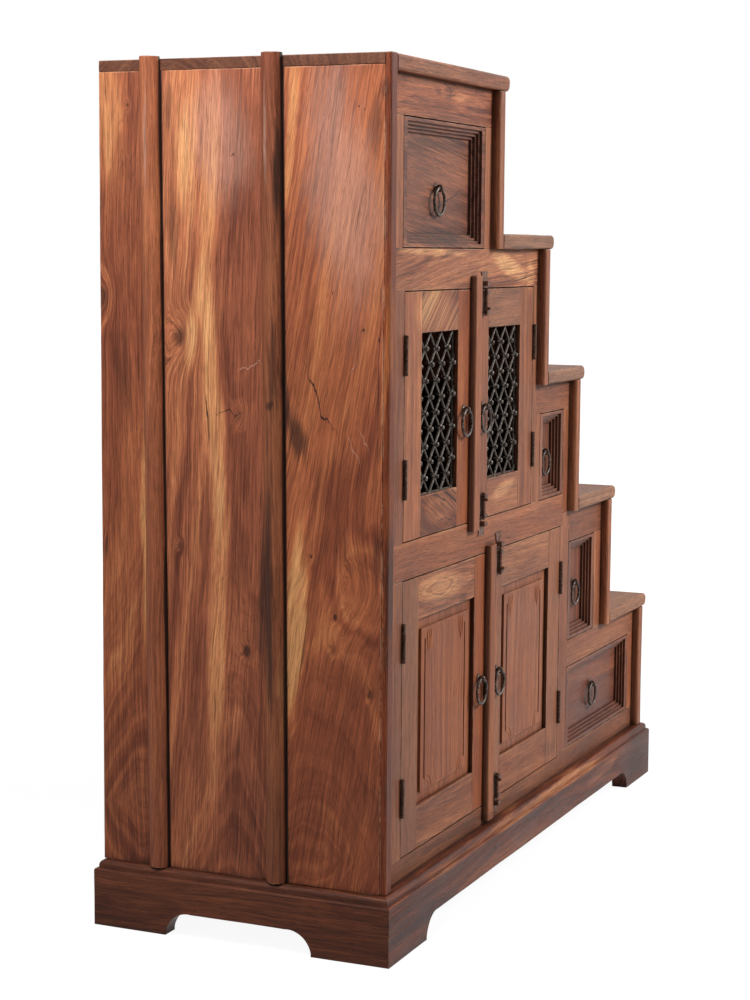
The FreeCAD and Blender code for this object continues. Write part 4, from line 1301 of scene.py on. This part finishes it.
def smith(node, material):
    joined = bmesh.new()
    for triangles in boards_of(node):
        low, high = box_of([p for points in triangles for p in points])
        size = high - low
        is_eye = node.endswith("_fittings") and abs(size.x - size.z) < 0.002 and size.x < eye_width
        work = bmesh.new() if is_eye else welded(triangles)
        if is_eye:
            add_eye(work, low, high)
        else:
            ease_arrises(work, 0.0003, 1, math.radians(50))
        join(joined, work)
    return finish_piece("forged_" + node, joined, material, nodes[node]["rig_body"], [node], 40)


smithed = [smith("frame_hinges", black_iron), smith("bolt_keepers", bolt_iron)]
for node in sorted(n for n in nodes if n.endswith("_fittings")):
    smithed.append(smith(node, black_iron))
for node in sorted(n for n in nodes if n.endswith("_bolt")):
    smithed.append(smith(node, bolt_iron))
print("forged:", [p.name for p in smithed])

# %% [markdown]
# ## Floor and light
#
# The cabinet stands on a white floor in front of nothing. To the camera the floor is almost pure white and
# only keeps a soft shadow. It throws little light back up, because the real cabinet darkens towards its
# feet. A large soft lamp hangs high in front and to the right, two weaker ones light the tall side, and the
# rest of the light comes evenly from all round. Iron and polish mirror the white room.

# %% Floor
floor_work = bmesh.new()
bmesh.ops.create_grid(floor_work, x_segments=1, y_segments=1, size=30)
floor_mesh = bpy.data.meshes.new("floor")
floor_work.to_mesh(floor_mesh)
floor_work.free()
floor = bpy.data.objects.new("floor", floor_mesh)
scene.collection.objects.link(floor)
print("floor of", tuple(round(d) for d in floor.dimensions), "m")

# %% Floor's finish
floor_grey = 0.35
glow_near, glow_far = 1.24, 1.42
glow_share = 0.75


def seen_directly(tree):
    """1 to the camera, through glass and in a mirror, 0 to the light that bounces about."""
    rays = add_node(tree, "LightPath").outputs
    seen = calc(tree, "MAXIMUM", rays["Is Camera Ray"], rays["Is Transmission Ray"])
    return calc(tree, "MAXIMUM", seen, rays["Is Glossy Ray"])


floor_finish, tree, shader = start_material("white_floor")
shader.inputs["Base Color"].default_value = (floor_grey, floor_grey, floor_grey, 1)
shader.inputs["Roughness"].default_value = 0.9
side, depth, height = parts(tree, add_node(tree, "TexCoord").outputs["Object"])
far = calc(tree, "SQRT", calc(tree, "ADD", times(tree, side, side), times(tree, depth, depth)))
strength = fade(tree, far, 1.0, 2.6, glow_near, glow_far)
glow = add_node(tree, "Emission", {"Color": white, "Strength": strength})
share = times(tree, seen_directly(tree), glow_share)
blend = add_node(tree, "MixShader", {0: share, 1: shader.outputs[0], 2: glow.outputs[0]})
tree.links.new(blend.outputs[0], tree.nodes["Material Output"].inputs["Surface"])
floor_mesh.materials.append(floor_finish)
print("the floor glows from", glow_near, "to", glow_far)

# %% Light
around = 0.22
world = bpy.data.worlds.new("studio")
world.use_nodes = True
scene.world = world
tree = world.node_tree
background = tree.nodes["Background"]
background.inputs["Color"].default_value = white
strength = calc(tree, "MULTIPLY_ADD", seen_directly(tree), 1 - around, around)
feed(tree, strength, background.inputs["Strength"])


def soft_lamp(name, place, target, size, power):
    lamp = bpy.data.lights.new(name, "AREA")
    lamp.shape = "DISK"
    lamp.size = size
    lamp.energy = power
    holder = bpy.data.objects.new(name, lamp)
    holder.location = place
    holder.rotation_euler = (Vector(target) - Vector(place)).to_track_quat("-Z", "Y").to_euler()
    scene.collection.objects.link(holder)


soft_lamp("key", (2.0, -3.0, 2.75), (0, 0, 0.9), 1.4, 181)
soft_lamp("side", (-1.6, 0.0, 2.35), (-0.7, 0, 1.3), 0.8, 45)
soft_lamp("sheen", (-3.3, 1.5, 2.3), (-0.7, 0, 1.3), 0.9, 20)
